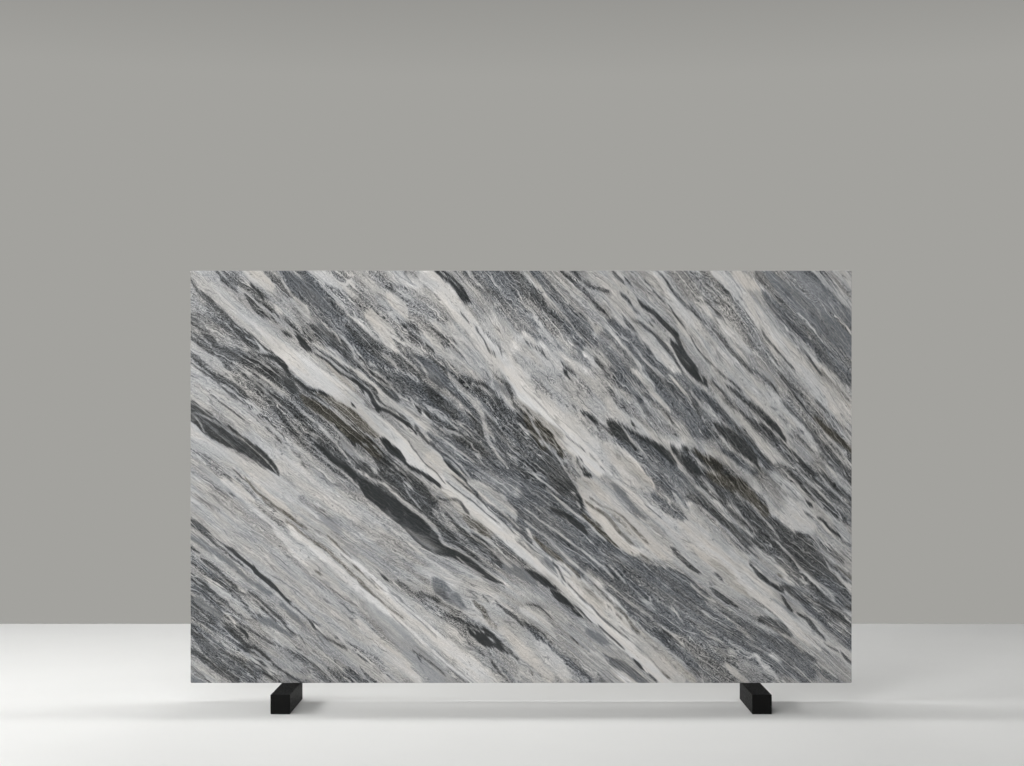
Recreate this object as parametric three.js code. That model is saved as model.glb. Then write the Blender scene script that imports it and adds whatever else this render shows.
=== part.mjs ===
// A polished marble slab that stands upright on two black support blocks.
// Millimetres, +Z up. +X runs along the slab, and the polished face looks towards -Y.
// The origin is on the floor, under the middle of the slab and halfway along the blocks.
import * as THREE from "three";

// Driving dimensions
const SLAB_WIDTH = 3175;
const SLAB_HEIGHT = 1980;
const SLAB_THICKNESS = 20;
const SLAB_CORNER_RADIUS = 6;
const SLAB_ARRIS = 1; // the eased edge around each face
const BLOCK_SIDE = 90; // the square section of a block
const BLOCK_LENGTH = 420;
const BLOCK_CORNER_RADIUS = 2;
const BLOCK_ARRIS = 2; // the eased edge around each end
const BLOCK_SPACING = 2210; // between the two blocks' centre planes
const SLAB_SETBACK = 345; // from the blocks' front ends back to the polished face

const CORNER_SEGMENTS = 4;
const QUARTER_TURN = Math.PI / 2;

// A rectangle in the XY plane, centred on the origin, with round corners.
function roundedRectangle(width, height, radius) {
  const right = width / 2 - radius;
  const top = height / 2 - radius;
  const outline = new THREE.Shape();
  outline.absarc(right, -top, radius, -QUARTER_TURN, 0);
  outline.absarc(right, top, radius, 0, QUARTER_TURN);
  outline.absarc(-right, top, radius, QUARTER_TURN, 2 * QUARTER_TURN);
  outline.absarc(-right, -top, radius, 2 * QUARTER_TURN, 3 * QUARTER_TURN);
  outline.closePath();
  return outline;
}

// A plate centred on the origin: width along X, height along Z and depth along Y,
// with round corners in its outline and a straight arris around its front and back faces.
function easedPlate(width, height, depth, cornerRadius, arris) {
  const outline = roundedRectangle(width - 2 * arris, height - 2 * arris, cornerRadius - arris / 2);
  const plate = new THREE.ExtrudeGeometry(outline, {
    depth: depth - 2 * arris,
    bevelEnabled: true,
    bevelThickness: arris,
    bevelSize: arris,
    bevelSegments: 1,
    curveSegments: CORNER_SEGMENTS,
  });
  plate.translate(0, 0, arris - depth / 2);
  plate.rotateX(QUARTER_TURN);
  return plate;
}

function marble() {
  return new THREE.MeshStandardMaterial({ color: 0x8a8a8a, roughness: 0.3, metalness: 0 });
}

function blackPaint() {
  return new THREE.MeshStandardMaterial({ color: 0x1c1c1b, roughness: 0.6, metalness: 0 });
}

function marbleSlab() {
  const plate = easedPlate(SLAB_WIDTH, SLAB_HEIGHT, SLAB_THICKNESS, SLAB_CORNER_RADIUS, SLAB_ARRIS);
  const slab = new THREE.Mesh(plate, marble());
  slab.name = "marble_slab";
  slab.position.y = SLAB_SETBACK + (SLAB_THICKNESS - BLOCK_LENGTH) / 2;
  slab.position.z = BLOCK_SIDE + SLAB_HEIGHT / 2;
  return slab;
}

function supportBlock(name, x) {
  const plate = easedPlate(BLOCK_SIDE, BLOCK_SIDE, BLOCK_LENGTH, BLOCK_CORNER_RADIUS, BLOCK_ARRIS);
  const block = new THREE.Mesh(plate, blackPaint());
  block.name = name;
  block.position.set(x, 0, BLOCK_SIDE / 2);
  return block;
}

const slabOnBlocks = new THREE.Group();
slabOnBlocks.add(marbleSlab());
slabOnBlocks.add(supportBlock("support_block_left", -BLOCK_SPACING / 2));
slabOnBlocks.add(supportBlock("support_block_right", BLOCK_SPACING / 2));

export default slabOnBlocks;
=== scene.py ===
import math

import bmesh
import bpy
import numpy as np
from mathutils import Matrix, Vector


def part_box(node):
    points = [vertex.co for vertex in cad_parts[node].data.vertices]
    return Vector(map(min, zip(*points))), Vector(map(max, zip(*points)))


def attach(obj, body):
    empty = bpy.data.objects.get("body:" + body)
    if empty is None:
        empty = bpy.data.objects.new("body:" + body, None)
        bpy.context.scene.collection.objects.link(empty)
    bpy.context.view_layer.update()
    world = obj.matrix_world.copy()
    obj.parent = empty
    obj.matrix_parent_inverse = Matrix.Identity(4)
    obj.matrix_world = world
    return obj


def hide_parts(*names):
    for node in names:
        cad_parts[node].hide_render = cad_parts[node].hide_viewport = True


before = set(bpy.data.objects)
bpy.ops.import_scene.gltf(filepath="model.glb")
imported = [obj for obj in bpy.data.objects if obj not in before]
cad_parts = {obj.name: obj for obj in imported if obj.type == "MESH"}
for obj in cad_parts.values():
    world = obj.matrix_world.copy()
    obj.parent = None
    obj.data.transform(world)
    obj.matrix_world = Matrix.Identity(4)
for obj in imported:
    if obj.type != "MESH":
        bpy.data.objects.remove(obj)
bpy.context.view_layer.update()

# Everything is in metres but the stone's pattern, which is laid out in
# centimetres: x to the right and y down from the top left corner of the polished
# face. The slab stands in the X-Z plane and that face looks towards -Y.
CM = 0.01
SLAB_LOW, SLAB_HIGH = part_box("marble_slab")
SLAB_WIDTH = SLAB_HIGH.x - SLAB_LOW.x
SLAB_HEIGHT = SLAB_HIGH.z - SLAB_LOW.z
SLAB_DEPTH = SLAB_HIGH.y - SLAB_LOW.y
CORNER_RADIUS = 0.006
ARRIS = 0.001  # how far the edges of both faces are cut back

# ---------------------------------------------------------------- the stone

# Each kind of stone: grey level (0 to 255), warmth (0 bluish, 1 olive or
# cream), streaks (how strongly fine lines show), crackle (how densely white
# micro-veins cross it), edge (how many centimetres its border takes to fade),
# rag (how far the border wanders, in centimetres) and strength (how well it
# hides what lies beneath).
STONE = {
    "white": (212, 0.35, 0.35, 0.0, 0.7, 0.3, 1),
    "milk": (201, 0.35, 0.45, 0.0, 0.7, 0.35, 1),
    "pale": (186, 0.3, 0.6, 0.05, 0.8, 0.4, 1),
    "cream": (189, 0.68, 0.5, 0.0, 0.8, 0.4, 1),
    "blush": (189, 0.75, 0.45, 0.0, 0.8, 0.4, 1),
    "light": (171, 0.32, 0.7, 0.1, 0.8, 0.5, 1),
    "sand": (167, 0.85, 0.65, 0.1, 0.8, 0.5, 1),
    "silver": (157, 0.3, 0.8, 0.2, 0.8, 0.5, 1),
    "fog": (152, 0.15, 0.3, 0.0, 0.8, 0.4, 1),
    "mid": (136, 0.35, 1.0, 0.4, 0.8, 0.5, 1),
    "smoke": (122, 0.1, 0.3, 0.1, 0.8, 0.4, 1),
    "drab": (120, 0.9, 0.8, 0.3, 0.7, 0.4, 1),
    "dusk": (113, 0.0, 0.5, 0.1, 0.8, 0.5, 1),
    "dim": (112, 0.3, 1.0, 0.35, 0.8, 0.5, 1),
    "slate": (96, 0.1, 0.8, 0.3, 0.8, 0.5, 1),
    "shale": (93, 0.1, 0.35, 0.05, 0.8, 0.4, 1),
    "crackled": (88, 0.2, 1.0, 1.0, 0.8, 0.5, 1),
    "dark": (80, 0.3, 0.75, 0.3, 0.5, 0.3, 1),
    "olive": (73, 0.95, 0.65, 0.35, 0.6, 0.35, 1),
    "ink": (51, 0.3, 0.2, 0.1, 0.35, 0.2, 1),
    "lens": (57, 0.35, 0.4, 0.25, 0.35, 0.2, 1),
    "umber": (84, 1.0, 0.5, 0.1, 0.5, 0.2, 0.8),
    "hair": (58, 0.4, 0.5, 0.1, 0.35, 0.1, 0.8),
    "wisp": (80, 0.4, 0.5, 0.1, 0.4, 0.1, 0.5),
    "thread": (206, 0.45, 0.5, 0.1, 0.35, 0.15, 0.65),
}

# The lie of the veins: lines that they follow across the slab, as (x, y).
FLOW = (
    ((0, 170), (20, 184), (40, 198)),
    ((0, 143), (30, 164), (60, 188)),
    ((0, 118), (20, 135), (45, 155), (80, 183), (100, 198)),
    ((0, 85), (40, 112), (80, 142), (120, 175), (150, 198)),
    ((0, 62), (20, 77), (42, 96), (80, 123), (110, 141), (150, 160), (200, 197)),
    ((0, 30), (30, 45), (60, 68), (90, 97), (120, 120), (150, 140), (200, 182)),
    ((0, 0), (40, 35), (80, 68), (120, 102), (160, 132), (200, 170), (230, 196)),
    ((40, 0), (60, 22), (80, 42), (100, 60), (140, 92), (180, 120), (240, 165), (280, 190)),
    ((120, 0), (140, 25), (155, 50), (180, 77), (200, 97), (240, 130), (280, 160), (320, 195)),
    ((160, 0), (180, 25), (200, 45), (220, 70), (240, 95), (260, 120), (280, 140), (320, 170)),
    ((200, 8), (220, 30), (240, 52), (260, 80), (280, 105), (300, 125), (320, 145)),
    ((230, 0), (250, 25), (270, 50), (290, 75), (320, 110)),
    ((260, 0), (280, 30), (300, 55), (320, 82)),
    ((300, 0), (320, 25)),
)
FLOW_SLOPE = 0.85  # the veins fall this much for each step to the right
FLOW_COSINE = math.cos(math.atan(FLOW_SLOPE))
LINE_SPACING = 2  # flow lines lie at least this many centimetres apart

# The veins are strokes, one to a line: a kind of stone, then x, y and half
# width at points along the middle of the stroke. Each one covers those before.

# The broad areas of stone, laid down first with soft borders.
GROUND = """
light -4 -4 8, 10 6 8, 24 18 8, 40 32 8, 58 48 7
slate 46 -3 6, 58 10 7, 70 24 8, 84 38 8, 96 48 7
mid 66 2 6, 82 16 6, 96 28 6, 110 34 6, 124 44 5
light 96 2 6, 108 12 5, 118 22 5, 130 36 6, 146 46 5
slate 140 0 7, 152 12 8, 166 24 9, 182 34 7, 192 42 5
light 160 38 7, 174 48 9, 188 58 9, 202 68 7, 214 76 5
light 198 2 8, 206 14 8, 216 28 7, 226 40 6, 236 52 5
slate 200 32 5, 210 44 6, 222 54 7, 236 66 6, 246 76 5
mid 236 0 6, 250 12 7, 264 24 7, 278 38 7, 294 56 6
light 240 28 5, 254 44 6, 268 58 7, 282 72 7, 296 86 6
dim 284 6 10, 298 20 11, 312 36 10
light 284 36 6, 296 50 7, 308 62 7, 318 72 6
dim 256 66 5, 270 80 6, 284 92 6, 300 106 6, 316 118 5
dim 290 62 5, 302 76 5, 316 90 5
dark -4 34 4, 10 42 4, 26 48 4, 40 54 5
light -4 50 9, 14 62 9, 32 76 9, 50 92 8, 70 110 7, 90 122 6
dim 26 46 5, 40 58 7, 54 72 8, 68 86 8, 82 98 7
dark 52 60 3, 66 72 6, 80 84 7, 94 98 7, 110 112 7, 126 126 6, 142 140 4
slate 78 40 5, 92 52 6, 108 60 7, 124 72 8, 138 86 8, 152 98 7
light 96 62 4, 108 74 6, 116 88 7, 128 100 7, 140 112 6, 152 124 5
slate 132 54 4, 146 66 7, 156 80 10, 164 94 11, 174 108 10, 184 120 9
slate 120 84 6, 136 98 8, 152 114 8, 168 128 8, 184 140 7
light 182 88 6, 196 102 9, 210 114 9, 228 126 10, 244 138 9, 262 150 8
silver 202 62 5, 216 72 6, 232 78 5
slate 206 84 4, 222 96 6, 236 106 6, 252 120 6, 268 134 6
dark 238 90 5, 252 102 8, 266 112 9, 280 126 9, 292 138 9, 306 150 8, 318 158 6
pale 280 102 5, 290 114 7, 298 122 5
silver 292 108 6, 304 122 7, 316 138 7
slate 288 154 6, 300 166 8, 314 176 8
pale 244 118 6, 258 134 7, 272 148 7, 286 162 6, 300 176 6, 314 188 6
slate 188 130 7, 204 142 9, 220 154 10, 238 164 11, 258 174 9, 280 184 8, 296 192 6
dim 240 182 6, 256 192 8
light -4 78 7, 16 94 8, 36 108 9, 56 126 9, 76 144 9, 96 164 9, 118 184 9
light -4 104 9, 16 122 9, 36 140 9, 56 158 9, 76 176 9, 96 192 9
silver 74 124 7, 90 136 8, 106 148 6
silver -4 126 5, 14 142 6, 32 158 6, 50 174 6, 64 186 6
dim -4 138 4, 12 150 5, 26 164 4
slate -4 162 7, 12 176 9, 28 190 8
light 120 146 7, 138 160 9, 154 176 9, 168 190 9
silver 176 160 6, 190 174 8, 204 190 9
"""

# Bands, ribbons and lenses, from the upper left to the lower right.
BANDS = """
# top left
light -4 -4 6, 8 5 6, 20 17 7, 33 29 7, 45 39 6
silver 28 1 4, 36 7 6, 45 14 6, 52 21 5, 56 28 3
slate 46 -3 5, 54 8 5.5, 60 13 6, 66 19 7, 72 26 8, 80 34 7
dim 16 -1 1.8, 22 4 2, 26 7 1.5, 32 10 1.5, 36 13 1
cream 27 -1 3, 32 3 4, 38 8 2.5
dim 36 0 1, 41 5 1.7, 46 11 1.2
dim 8 17 1.5, 13 23 2, 18 28 1.5
light -1 35 1.5, 8 42 2.5, 16 48 2.5, 22 53 2
dark 58 27 1, 65 32 3, 72 36 3, 79 42 3, 84 47 2
pale 57 -2 2.5, 64 3 2.7, 71 7 2, 78 12 1.5
mid 66 8 1, 72 13 2, 78 19 2.5, 84 26 2
pale 50 14 1, 54 18 2.5, 56 24 1
dark 12 36 1.2, 20 39.5 2, 30 43 3.5, 38 47 4.5, 46 53 4
dark -1 22 1.5, 5 27.5 1.8, 9 32 1.5, 13 36 1.2, 18 39 1
# top, left of the middle
light 82 1 3, 90 8 4, 97 17 4, 100 22 3
mid 88 1 3, 95 7 3, 103 12 5, 112 17 5, 120 22 4
pale 97 1 3, 104 4 3, 110 7 2
cream 96 12 2, 100 17 3, 103 22 1.5
dark 77 26 3, 84 33 4, 92 37 5, 100 44 5, 110 47 5
cream 86 20 1.5, 92 26 3, 97 31 2, 99 37 2
mid 96 31 1, 99 35 1.3, 101 38 .8
mid 108 20 1.5, 115 26 2, 118 30 1.5
light 112 32 2, 118 37 3, 122 41 1.5
dim 120 32 1, 124 36.5 1.8, 128 40 1.3, 132 42 .6
slate 104 40 1, 110 43 2.5, 117 47 3.5, 123 52 4
light 124 40 3, 130 45 3, 138 50 3
slate 133 1 2.5, 140 3 4, 147 8 4.5, 153 14 4, 158 20 3
dim 145 15 1, 149 19 2, 154 22 1.2
dark 153 0 1, 157 3 2, 162 9 3, 167 15 3.5, 170 20 2, 177 25 1.5
milk 113 2 4, 120 8 4, 125 14 4, 130 21 4, 135 27 4, 140 34 4
milk 140 34 4, 146 41 4, 152 46 4, 158 52 5
# top, right of the middle
mid 160 14 2, 167 21 3, 175 28 3.5, 182 37 3
slate 165 0 2, 172 8 2, 176 14 2.5, 183 22 3, 189 28 3.5, 194 34 2.5
dim 182 3 1.5, 187 9 1.8, 190 14 1
pale 160 32 3, 168 40 4, 176 46 3
dim 179 35 1.5, 183 39 1.5
light 190 38 2, 196 45 3.5, 200 50 2
light 205 1 3, 208 7 3, 212 14 2
slate 202 25 2, 207 30 3, 213 36 4, 220 43 5, 227 50 6, 240 60 5
light 200 27 1, 205 33 1, 209 38 1, 214 43 1, 219 50 1
slate 203 42 2, 209 47 3, 214 52 3
pale 217 32 1.5, 222 37 2, 228 43 2, 234 48 2
pale 225 2 3, 229 9 3, 233 16 3, 238 22 3, 242 27 3
mid 233 0 2, 243 7 3, 252 13 3, 262 20 3, 270 28 2.5, 277 36 2
light 240 28 2, 245 35 3, 250 42 3, 256 48 3
pale 246 17 1.5, 252 22 1.8, 258 28 2, 263 33 2, 268 39 1.5
pale 252 0 3, 260 6 3, 266 13 3, 271 20 3, 276 27 3
cream 263 2 3, 270 7 2.5, 275 9 1
silver 272 11 2, 278 18 2.5, 284 26 2.5, 289 33 2, 294 40 2, 299 47 2
dim 275 2 4, 284 9 6, 293 16 8, 302 24 9, 311 34 9, 318 42 9
slate 290 0 3, 298 5 4, 306 11 4, 313 18 4
light 308 -2 2, 313 2 2, 318 7 2
slate 276 12 1.5, 282 18 2.5, 287 24 2.5, 293 30 2, 300 36 2.5, 307 42 3
slate 304 41 3, 311 47 3, 317 53 3
pale 276 27 3, 282 34 3.5, 288 41 3.5, 294 48 3.5, 298 53 3.5
milk 278 29 1, 281 32.5 2, 284 36 1
pale 298 53 3, 303 58 3, 308 63 3, 313 67 3, 318 71 3
sand 300 46 2, 306 52 2.5, 312 58 2.5, 318 64 2
dusk 277 1 1.5, 284 7 3.5, 292 14 4.5, 300 21 4.5, 309 29 4.5, 318 37 4.5
dusk 290 0 2, 297 6 3, 304 12 3, 311 18 3, 318 24 3
slate 283 20 1, 290 27 2, 297 34 2.2, 305 42 2.2, 314 50 2
dusk 219 48 2, 225 54 3, 231 60 3.5, 238 66 3, 243 71 2
shale 46 2 2, 52 6 3.5, 58 11 3.5, 64 17 2
# left, second row
mid 30 61 1.5, 36 67 2, 42 74 2, 48 80 1.5, 52 84 1
mid 22 50 2, 25 52.5 2
dark 31 50 1, 35 54 1.2, 38 57 1.8, 42 61 2, 46 65 2.2, 50 69 2.3, 54 74 2
dark 42 48 1.5, 46 53 2, 49 57 1.5, 51 60 1, 55 65 .8, 58 69 .5
mid 49 71 .8, 53 74.5 1.8, 56 77 .8
drab 62 59 1.2, 68 62 2.5, 74 67 3, 80 72 3, 86 76 3, 90 79 1.5
olive 53 60 1, 57 63 2.3, 63 67 2.8, 70 71 3, 76 76 3.3, 83 82 3.5, 90 88 2.5
dim 58 70 1, 65 76 2, 72 82 2.5, 80 89 3
fog 72 82 1, 77 86.5 1.8, 82 90 1
silver 80 84 1.2, 84 89 2, 88 94 1.8, 91 99 1
dark 58 78 2, 66 86 2.5, 74 93 3, 82 100 3
pale 6 5 1, 14 11.5 2.5, 22 18.5 3, 30 26 3.5, 38 32.5 4, 46 39 4
white 34 29.5 1, 42 36.5 3, 48 41.5 4.3, 55 47 5, 62 52 4.5, 70 57 4, 80 64 3.3
white 80 64 3, 84 68.5 2.7, 90 74 3.7, 95 78 4, 100 83 4, 105 89 4.3
white 105 89 4, 110 93.5 3.5, 115 97 3.5, 119 100.5 3.3, 124 105 2.5
# middle, second row
light 80 48 1.5, 85 53 2, 90 57 2, 93 61 3, 97 64 2.5, 100 66 2
light 100 62 1.5, 104 65 2.5, 109 70 4, 112 76 4, 112 84 4, 116 90 4
cream 116 90 4, 122 96 3.5, 128 101 2.5, 134 107 2
dark 86 48 1, 91 53 2, 95 57 3, 98 60 2, 100 62 .5
slate 92 47 3.5, 100 52 4.5, 108 57 5, 116 62 5, 122 67 4, 128 70 3
slate 108 51 1, 113 55.5 2, 118 59.5 2.2, 124 64 1.5
dark 112 57 1, 117 61 2.5, 123 66 2.5, 128 69.5 1.5
slate 116 47 2, 121 51 3, 126 56 3, 131 61 2.5, 136 66 2.5, 140 72 2
dark 115 70 1, 119 73 1.6, 124 77 2, 130 80 2, 136 84 2, 142 88 2
slate 115 78 1.5, 121 82 2.5, 127 87 3.5, 133 93 4, 139 98 4
crackled 131 53 1.5, 140 58 3, 147 64 4, 152 70 6, 156 77 8, 160 85 9, 165 93 8
dark 132 68 1, 137 73 2, 141 79 1.5
silver 143 53 1.5, 148 56 2.5, 152 60 2
pale 151 61 1, 154 64 1, 156 66.5 .6
dark 144 70 1, 148 74 1.7, 151 79 1.5
dark 159 68 2, 163 73 3, 167 80 2.2, 171 86 2.2, 175 91 2.5, 179 96 3
dark 170 93 2.5, 174 97 3.5, 178 102 5, 182 106 3, 186 110 1.5, 189 114 .8
pale 158 54 4, 165 60 4.5, 175 67 6, 183 75 7.5, 190 83 8, 196 91 6
cream 159 63 1.5, 163 69 2, 168 74 2.5, 173 79 2.5, 178 84 2, 184 90 2
white 153 47 2.5, 160 58.5 3.3, 166 64.5 3.5, 172 70 3.5, 178 76 3.5, 184 83 4
white 184 83 4, 190 89 4, 196 95 3, 202 100 2
olive 166 72 .5, 168 74.5 1, 171 78 1.5, 174 82 1.5, 177 86 1.5, 179 89 .8
mid 179 85 .6, 182 89 1.5, 184 94 2, 186 99 2
cream 200 84 3, 207 91 5, 213 98 5, 219 103 4
pale 200 62 2, 203 66 2.5, 208 70 2.5, 214 74 2, 220 78 1.8, 225 81 2
pale 225 81 2, 230 83 2.5, 236 83 2, 241 84 2, 246 86.5 2.2, 252 89 2
cream 250 88 1.8, 256 90.5 1.8, 260 93 1.5, 264 97 1.4, 268 100 2, 273 105 2
slate 209 77 .8, 213 80 2, 218 84 2.8, 224 89 3, 230 95 3, 237 101 3
dim 201 58 1, 204 62 1.5, 208 65 2, 213 68 2, 218 70 1.5, 224 72 1
slate 202 49 2.5, 206 52 3, 210 56 2.5, 214 60 1.5, 217 63 1
slate 222 48 3, 228 54 4, 233 60 4, 238 66 3.5, 243 71 3
mid 212 66 2, 220 72 3, 228 76 3, 235 78 2
light 212 48 1, 216 51 1.5, 220 55 1.8, 224 60 1.2, 229 65 .8, 235 70 .8
crackled 147 68 2, 152 76 4.5, 157 85 5, 162 92 4
# right, second row
slate 242 52 .5, 246 57 1.3, 250 62 2, 254 67 2, 258 71 1.2, 262 76 1
slate 262 76 1, 267 82 1, 271 87 1.2, 276 93 1.5
dim 240 64 1, 244 69 1.5, 249 75 1.5, 253 80 1.2
slate 256 86 .6, 261 89 1.2, 266 93 1.5, 271 97 1
light 250 48 1, 254 53 1.5, 257 57 1, 260 61 .5
light 252 60 .8, 257 65 1.5, 262 70 1.5, 267 75 1.8, 272 80 2.5, 278 86 2.8
light 278 86 2.8, 282 90 2.4, 286 93 .8
light 270 53 2.5, 276 58 2.5, 282 64 2.5, 288 70 2.5, 293 76 3, 297 80 2.5
fog 274 48 1, 278 51 1.6, 281 54 .6
light 290 62 .6, 297 70 .7, 303 76 .9, 309 83 1, 315 89 .8
dark 284 63 .5, 288 67 .8, 293 72 .8, 298 77 1, 303 83 1.8, 308 88 2
dark 308 88 2, 312 92 2, 318 98 1.8
dark 301 85 .6, 304 88 1.3, 308 92 1.5, 313 97 1.5, 318 102 1.2
dark 259 63 .5, 263 67 .6, 267 70 .8, 271 73 1.5, 275 76 2, 280 80 2
dark 280 80 2, 284 84 2, 288 88 2, 293 92 1.5, 298 96 1.2, 303 100 1
# left, third row
fog 5 94 1, 12 100 1.5, 20 106 1.3, 28 113 1
mid 0 86 1, 8 91 2, 14 97 2, 19 101 2
pale 0 76 3.5, 10 84 2.5, 20 90 2.5, 30 95 3, 40 101 3.5, 50 108 3
pale 30 78 1, 38 86 2.5, 46 94 3, 56 102 4, 68 110 4, 80 118 3
mid 22 100 1, 28 106 1, 33 111.5 1.3, 38 116 1.5, 43 121 1.2, 47 125 .8
cream 20 100 1, 25 105 1.2, 30 110 .8
cream 27 97 1, 33 103 1.5, 38 108 1.8, 44 113 2, 48 117 1, 53 120 .6
pale 16 101 1.5, 22 106 1.5, 28 112 1.2, 34 118 1, 40 123 1, 46 130 1.5
pale 46 130 1.5, 52 136 2.2, 58 141 3, 66 147 3, 74 153 3
drab 46 120 .5, 50 123.5 .8, 54 126.5 .9, 58 129.5 .8, 63 133 1, 68 137 1
drab 68 137 1, 73 141 1, 77 145 1, 82 150 1, 86 154 .7, 90 157 .6
milk 47 123 .8, 52 127.5 1, 57 131 1.2, 62 136 1.8, 67 140.5 2.3, 72 145 2.3
milk 72 145 2, 79 151 2, 86 157 1.5, 92 162 1.5, 98 167 1.5, 104 172 1
fog 63 119 1.5, 67 121 2.2, 70 123 2, 72 126 1
fog 75 132 1, 80 137 1.2
smoke 0 128 1.2, 5 131 1.5, 9 133.5 1.8, 13 136 1.8, 17 139 1.5, 22 143 1
smoke 22 143 1, 26 147 .8, 31 151 1, 38 155 1
light 0 130.5 .8, 6 135 1, 12 139 1, 18 143 1, 24 148 1
dark 6 138 1, 9 141 1.5, 13 145 1.6, 17 149 1.5, 21 152 1.5
slate 0 139 .8, 5 142 1, 10 146 1.2, 15 150 1.3, 19 153 1
# middle, third row
dark 92 98 2.5, 98 102 2, 104 108 1.5, 110 113 2, 115 118 2.5, 120 123 2
dark 100 96 4, 108 104 4, 114 112 3, 120 121 2
silver 84 111 1.5, 92 118.5 2.5, 100 125 3, 107 131 2.8, 114 136 2.8
silver 114 136 2.8, 121 140.5 2.5, 129 144 2.5, 137 147.5 2, 145 150.5 1.5
pale 110 143 2.5, 116 146 3, 122 149 3, 128 150 2.5
mid 118 114 1.5, 124 122 2, 130 129 2, 138 136 2, 146 143 1.5
sand 122 106 1, 127 111.5 1.5, 133 116.5 2, 138 120.5 1
drab 132 118.5 1.5, 138 123 3, 144 126.5 2.3
dim 146 129 2, 150 132 2.6, 155 136.5 2.6, 160 140.5 1.5
dark 131 123 .8, 134 126 1.8, 138 130 2.2, 142 134 2.2, 146 138 2, 150 142 1.3
smoke 150 142 1, 154 143.5 2.5, 158 144.5 2.5, 161 147 2.2, 165 150.5 1.5
pale 122 98 1, 128 104 1.5, 134 108 1.5, 140 113 1.8, 146 118 1.5, 152 124 1.2
pale 152 124 1.2, 160 130 1.4, 166 135.5 1.5, 171 139 1.5
white 119 100.5 3.3, 124 105 2.5, 130 110 2.3, 136 115 2.8, 142 120 2.6
white 142 120 2.6, 148 125.5 2.4, 154 130.5 2.3, 160 136 2.3, 165 140 2.2
white 165 140 2.2, 171 145 2, 177 150 2, 182 155 2.2, 187 160.3 2.5
light 134 101 1.5, 142 106 3, 150 112 3, 156 118 1.5
# right of the middle, third row
silver 199 100 2, 206 107 3, 213 114 3, 220 120 3, 228 125 3
smoke 202 102 .6, 205 105 1.8, 208 108 2, 211 112 1.5, 214 116 1.2, 218 119 .8
pale 212 108 2, 220 115 2.3, 227 121 2.5, 234 126 3, 240 131 3
slate 221 107 .5, 225 110 1.8, 229 113 2.8, 233 116 2.8, 237 119 1.3, 238.5 121.5 .3
cream 186 101 1.5, 190 107 2.5, 193 113 3, 197 118 3, 201 124 3, 206 130 3
cream 206 130 3, 211 134 2.6, 217 135.5 2, 223 136.5 2, 228 138 1
cream 190 100 2, 196 105 3, 203 112 2.5, 209 118 2.5, 215 124 2.5, 221 130 3
cream 221 130 3, 227 135 2.5, 231 138.5 1
olive 189 117 1, 192 120 1.4, 196 124 1.4, 199 127 1, 202 130 .7, 205.5 133 .3
slate 160 110 3, 168 116 3.5, 176 123 3, 184 130 3, 192 138 3, 200 146 3
slate 176 122 1.5, 182 125 2, 188 128 2.5, 194 131 3, 200 135 3.5, 208 140 4
slate 208 141 3.5, 216 144.5 4.5, 225 147 5, 235 151 5, 244 157 5
pale 162 125 .6, 165 130 .8, 168 135 1, 173 139 1, 179 142 1, 184 146 1.2
silver 162 130 1.3, 166 135 1.8, 171 139 1.3
smoke 170 138.5 .5, 175 142.5 1.2, 178 146 1, 180 150 .5
milk 176 143 .8, 180 147 2, 185 151 3, 190 156.5 2
cream 184 147 1.3, 189 151.5 2, 196 158 2.3, 203 164.5 2.5, 210 171.5 2.5
# right, third row
olive 250 97 2, 256 101 3, 262 103 4, 268 107 3, 272 112 3, 276 116 2.5
pale 279 106 1.5, 284 110 3, 288 114 4.5, 293 119 5, 297 123 3
pale 276 108 1.5, 279 112 2, 283 117 2, 288 121.5 2, 292 124.5 1.5
light 281 101 2, 288 104 2.5, 294 107 2
light 296 109 1.5, 301 114 2, 307 119 1.5
dark 288 97 1, 296 104 1.8, 301 109 2, 306 113 2, 311 117 1.8, 315 120 .8
dark 299 100 .8, 305 105 1, 311 109.5 1.3, 318 114 1.2
dark 303 98 1.2, 309 103 1.6, 314 107.5 1.5, 318 111 1
silver 312 122 1.5, 315 126 1.8
dim 303 130 .8, 308 134 1.2, 313 139 .8
light 300 130 .7, 305 136 .8, 310 141 1, 317 147.5 1
light 304 138 .5, 308 144 .9, 313 149 1.2, 318 154 1.2
dark 240 108 1.2, 246 112 1.8, 252 117 2, 258 122 2, 264 127 1.8, 270 131 1.5
dark 270 131 1.5, 276 135.5 1.6, 281 138.5 .8
silver 243 103 1, 249 109 1.5, 254 114 1.5, 259 119 1.3, 264 123 1, 269 128 .8
mid 244 114 1.5, 250 120 1.8, 256 126 2, 262 131 2, 268 135 1.6
pale 240 113 2, 246 120 3, 252 127 3.5, 258 133 3, 264 140 3, 270 147 3
cream 238 124 4, 246 132 5, 254 140 5, 262 147 4
sand 250 140 1.5, 257 146 2, 263 151 2, 268 156 1.6
silver 270 133 1.5, 275 136.5 2, 280 139.5 1
silver 270 139 1.5, 277 143.5 2.5, 283 146.5 2.5, 289 150 1
dark 269 141 .8, 272 144.7 1, 275 148 1.2, 279 150.5 1, 284 153 1.2
dim 288 146 1, 291 148.5 2.2, 296 151 1.5
dark 230.5 132.5 .5, 233 135 1, 236 138 1.4, 240 141.5 1.2, 244 145 .8
# left, bottom row
slate 2 152 1.5, 7 156 1.5, 12 160 1.2, 16 164 1
smoke 3 158 1.5, 8 162 1.5, 14 166 1
light 10 151 1.2, 15 155 1.5, 21 160 2, 28 166 2
light 26 160 1.5, 34 167 2, 40 174 2.5, 48 181 2
dark 0 160.5 1, 4 164 1.7, 8 167 1.5, 12 169.5 1.3, 16 171 1.4, 20 173.5 2
dark 20 173.5 2, 24 177.5 1.5, 27 180.5 1.2, 30 184 .8
mid 0 167.5 1.5, 6 171.5 1.5, 12 175.5 1.5, 20 181 1.5, 27 187 1.2
dark 0 172.5 1.2, 4 175 1.3, 8 177.5 1, 13 180.5 1, 17 183.5 1, 21 186.5 1
slate 6 180 2.5, 12 185 3, 18 190 3, 24 195 3
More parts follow.
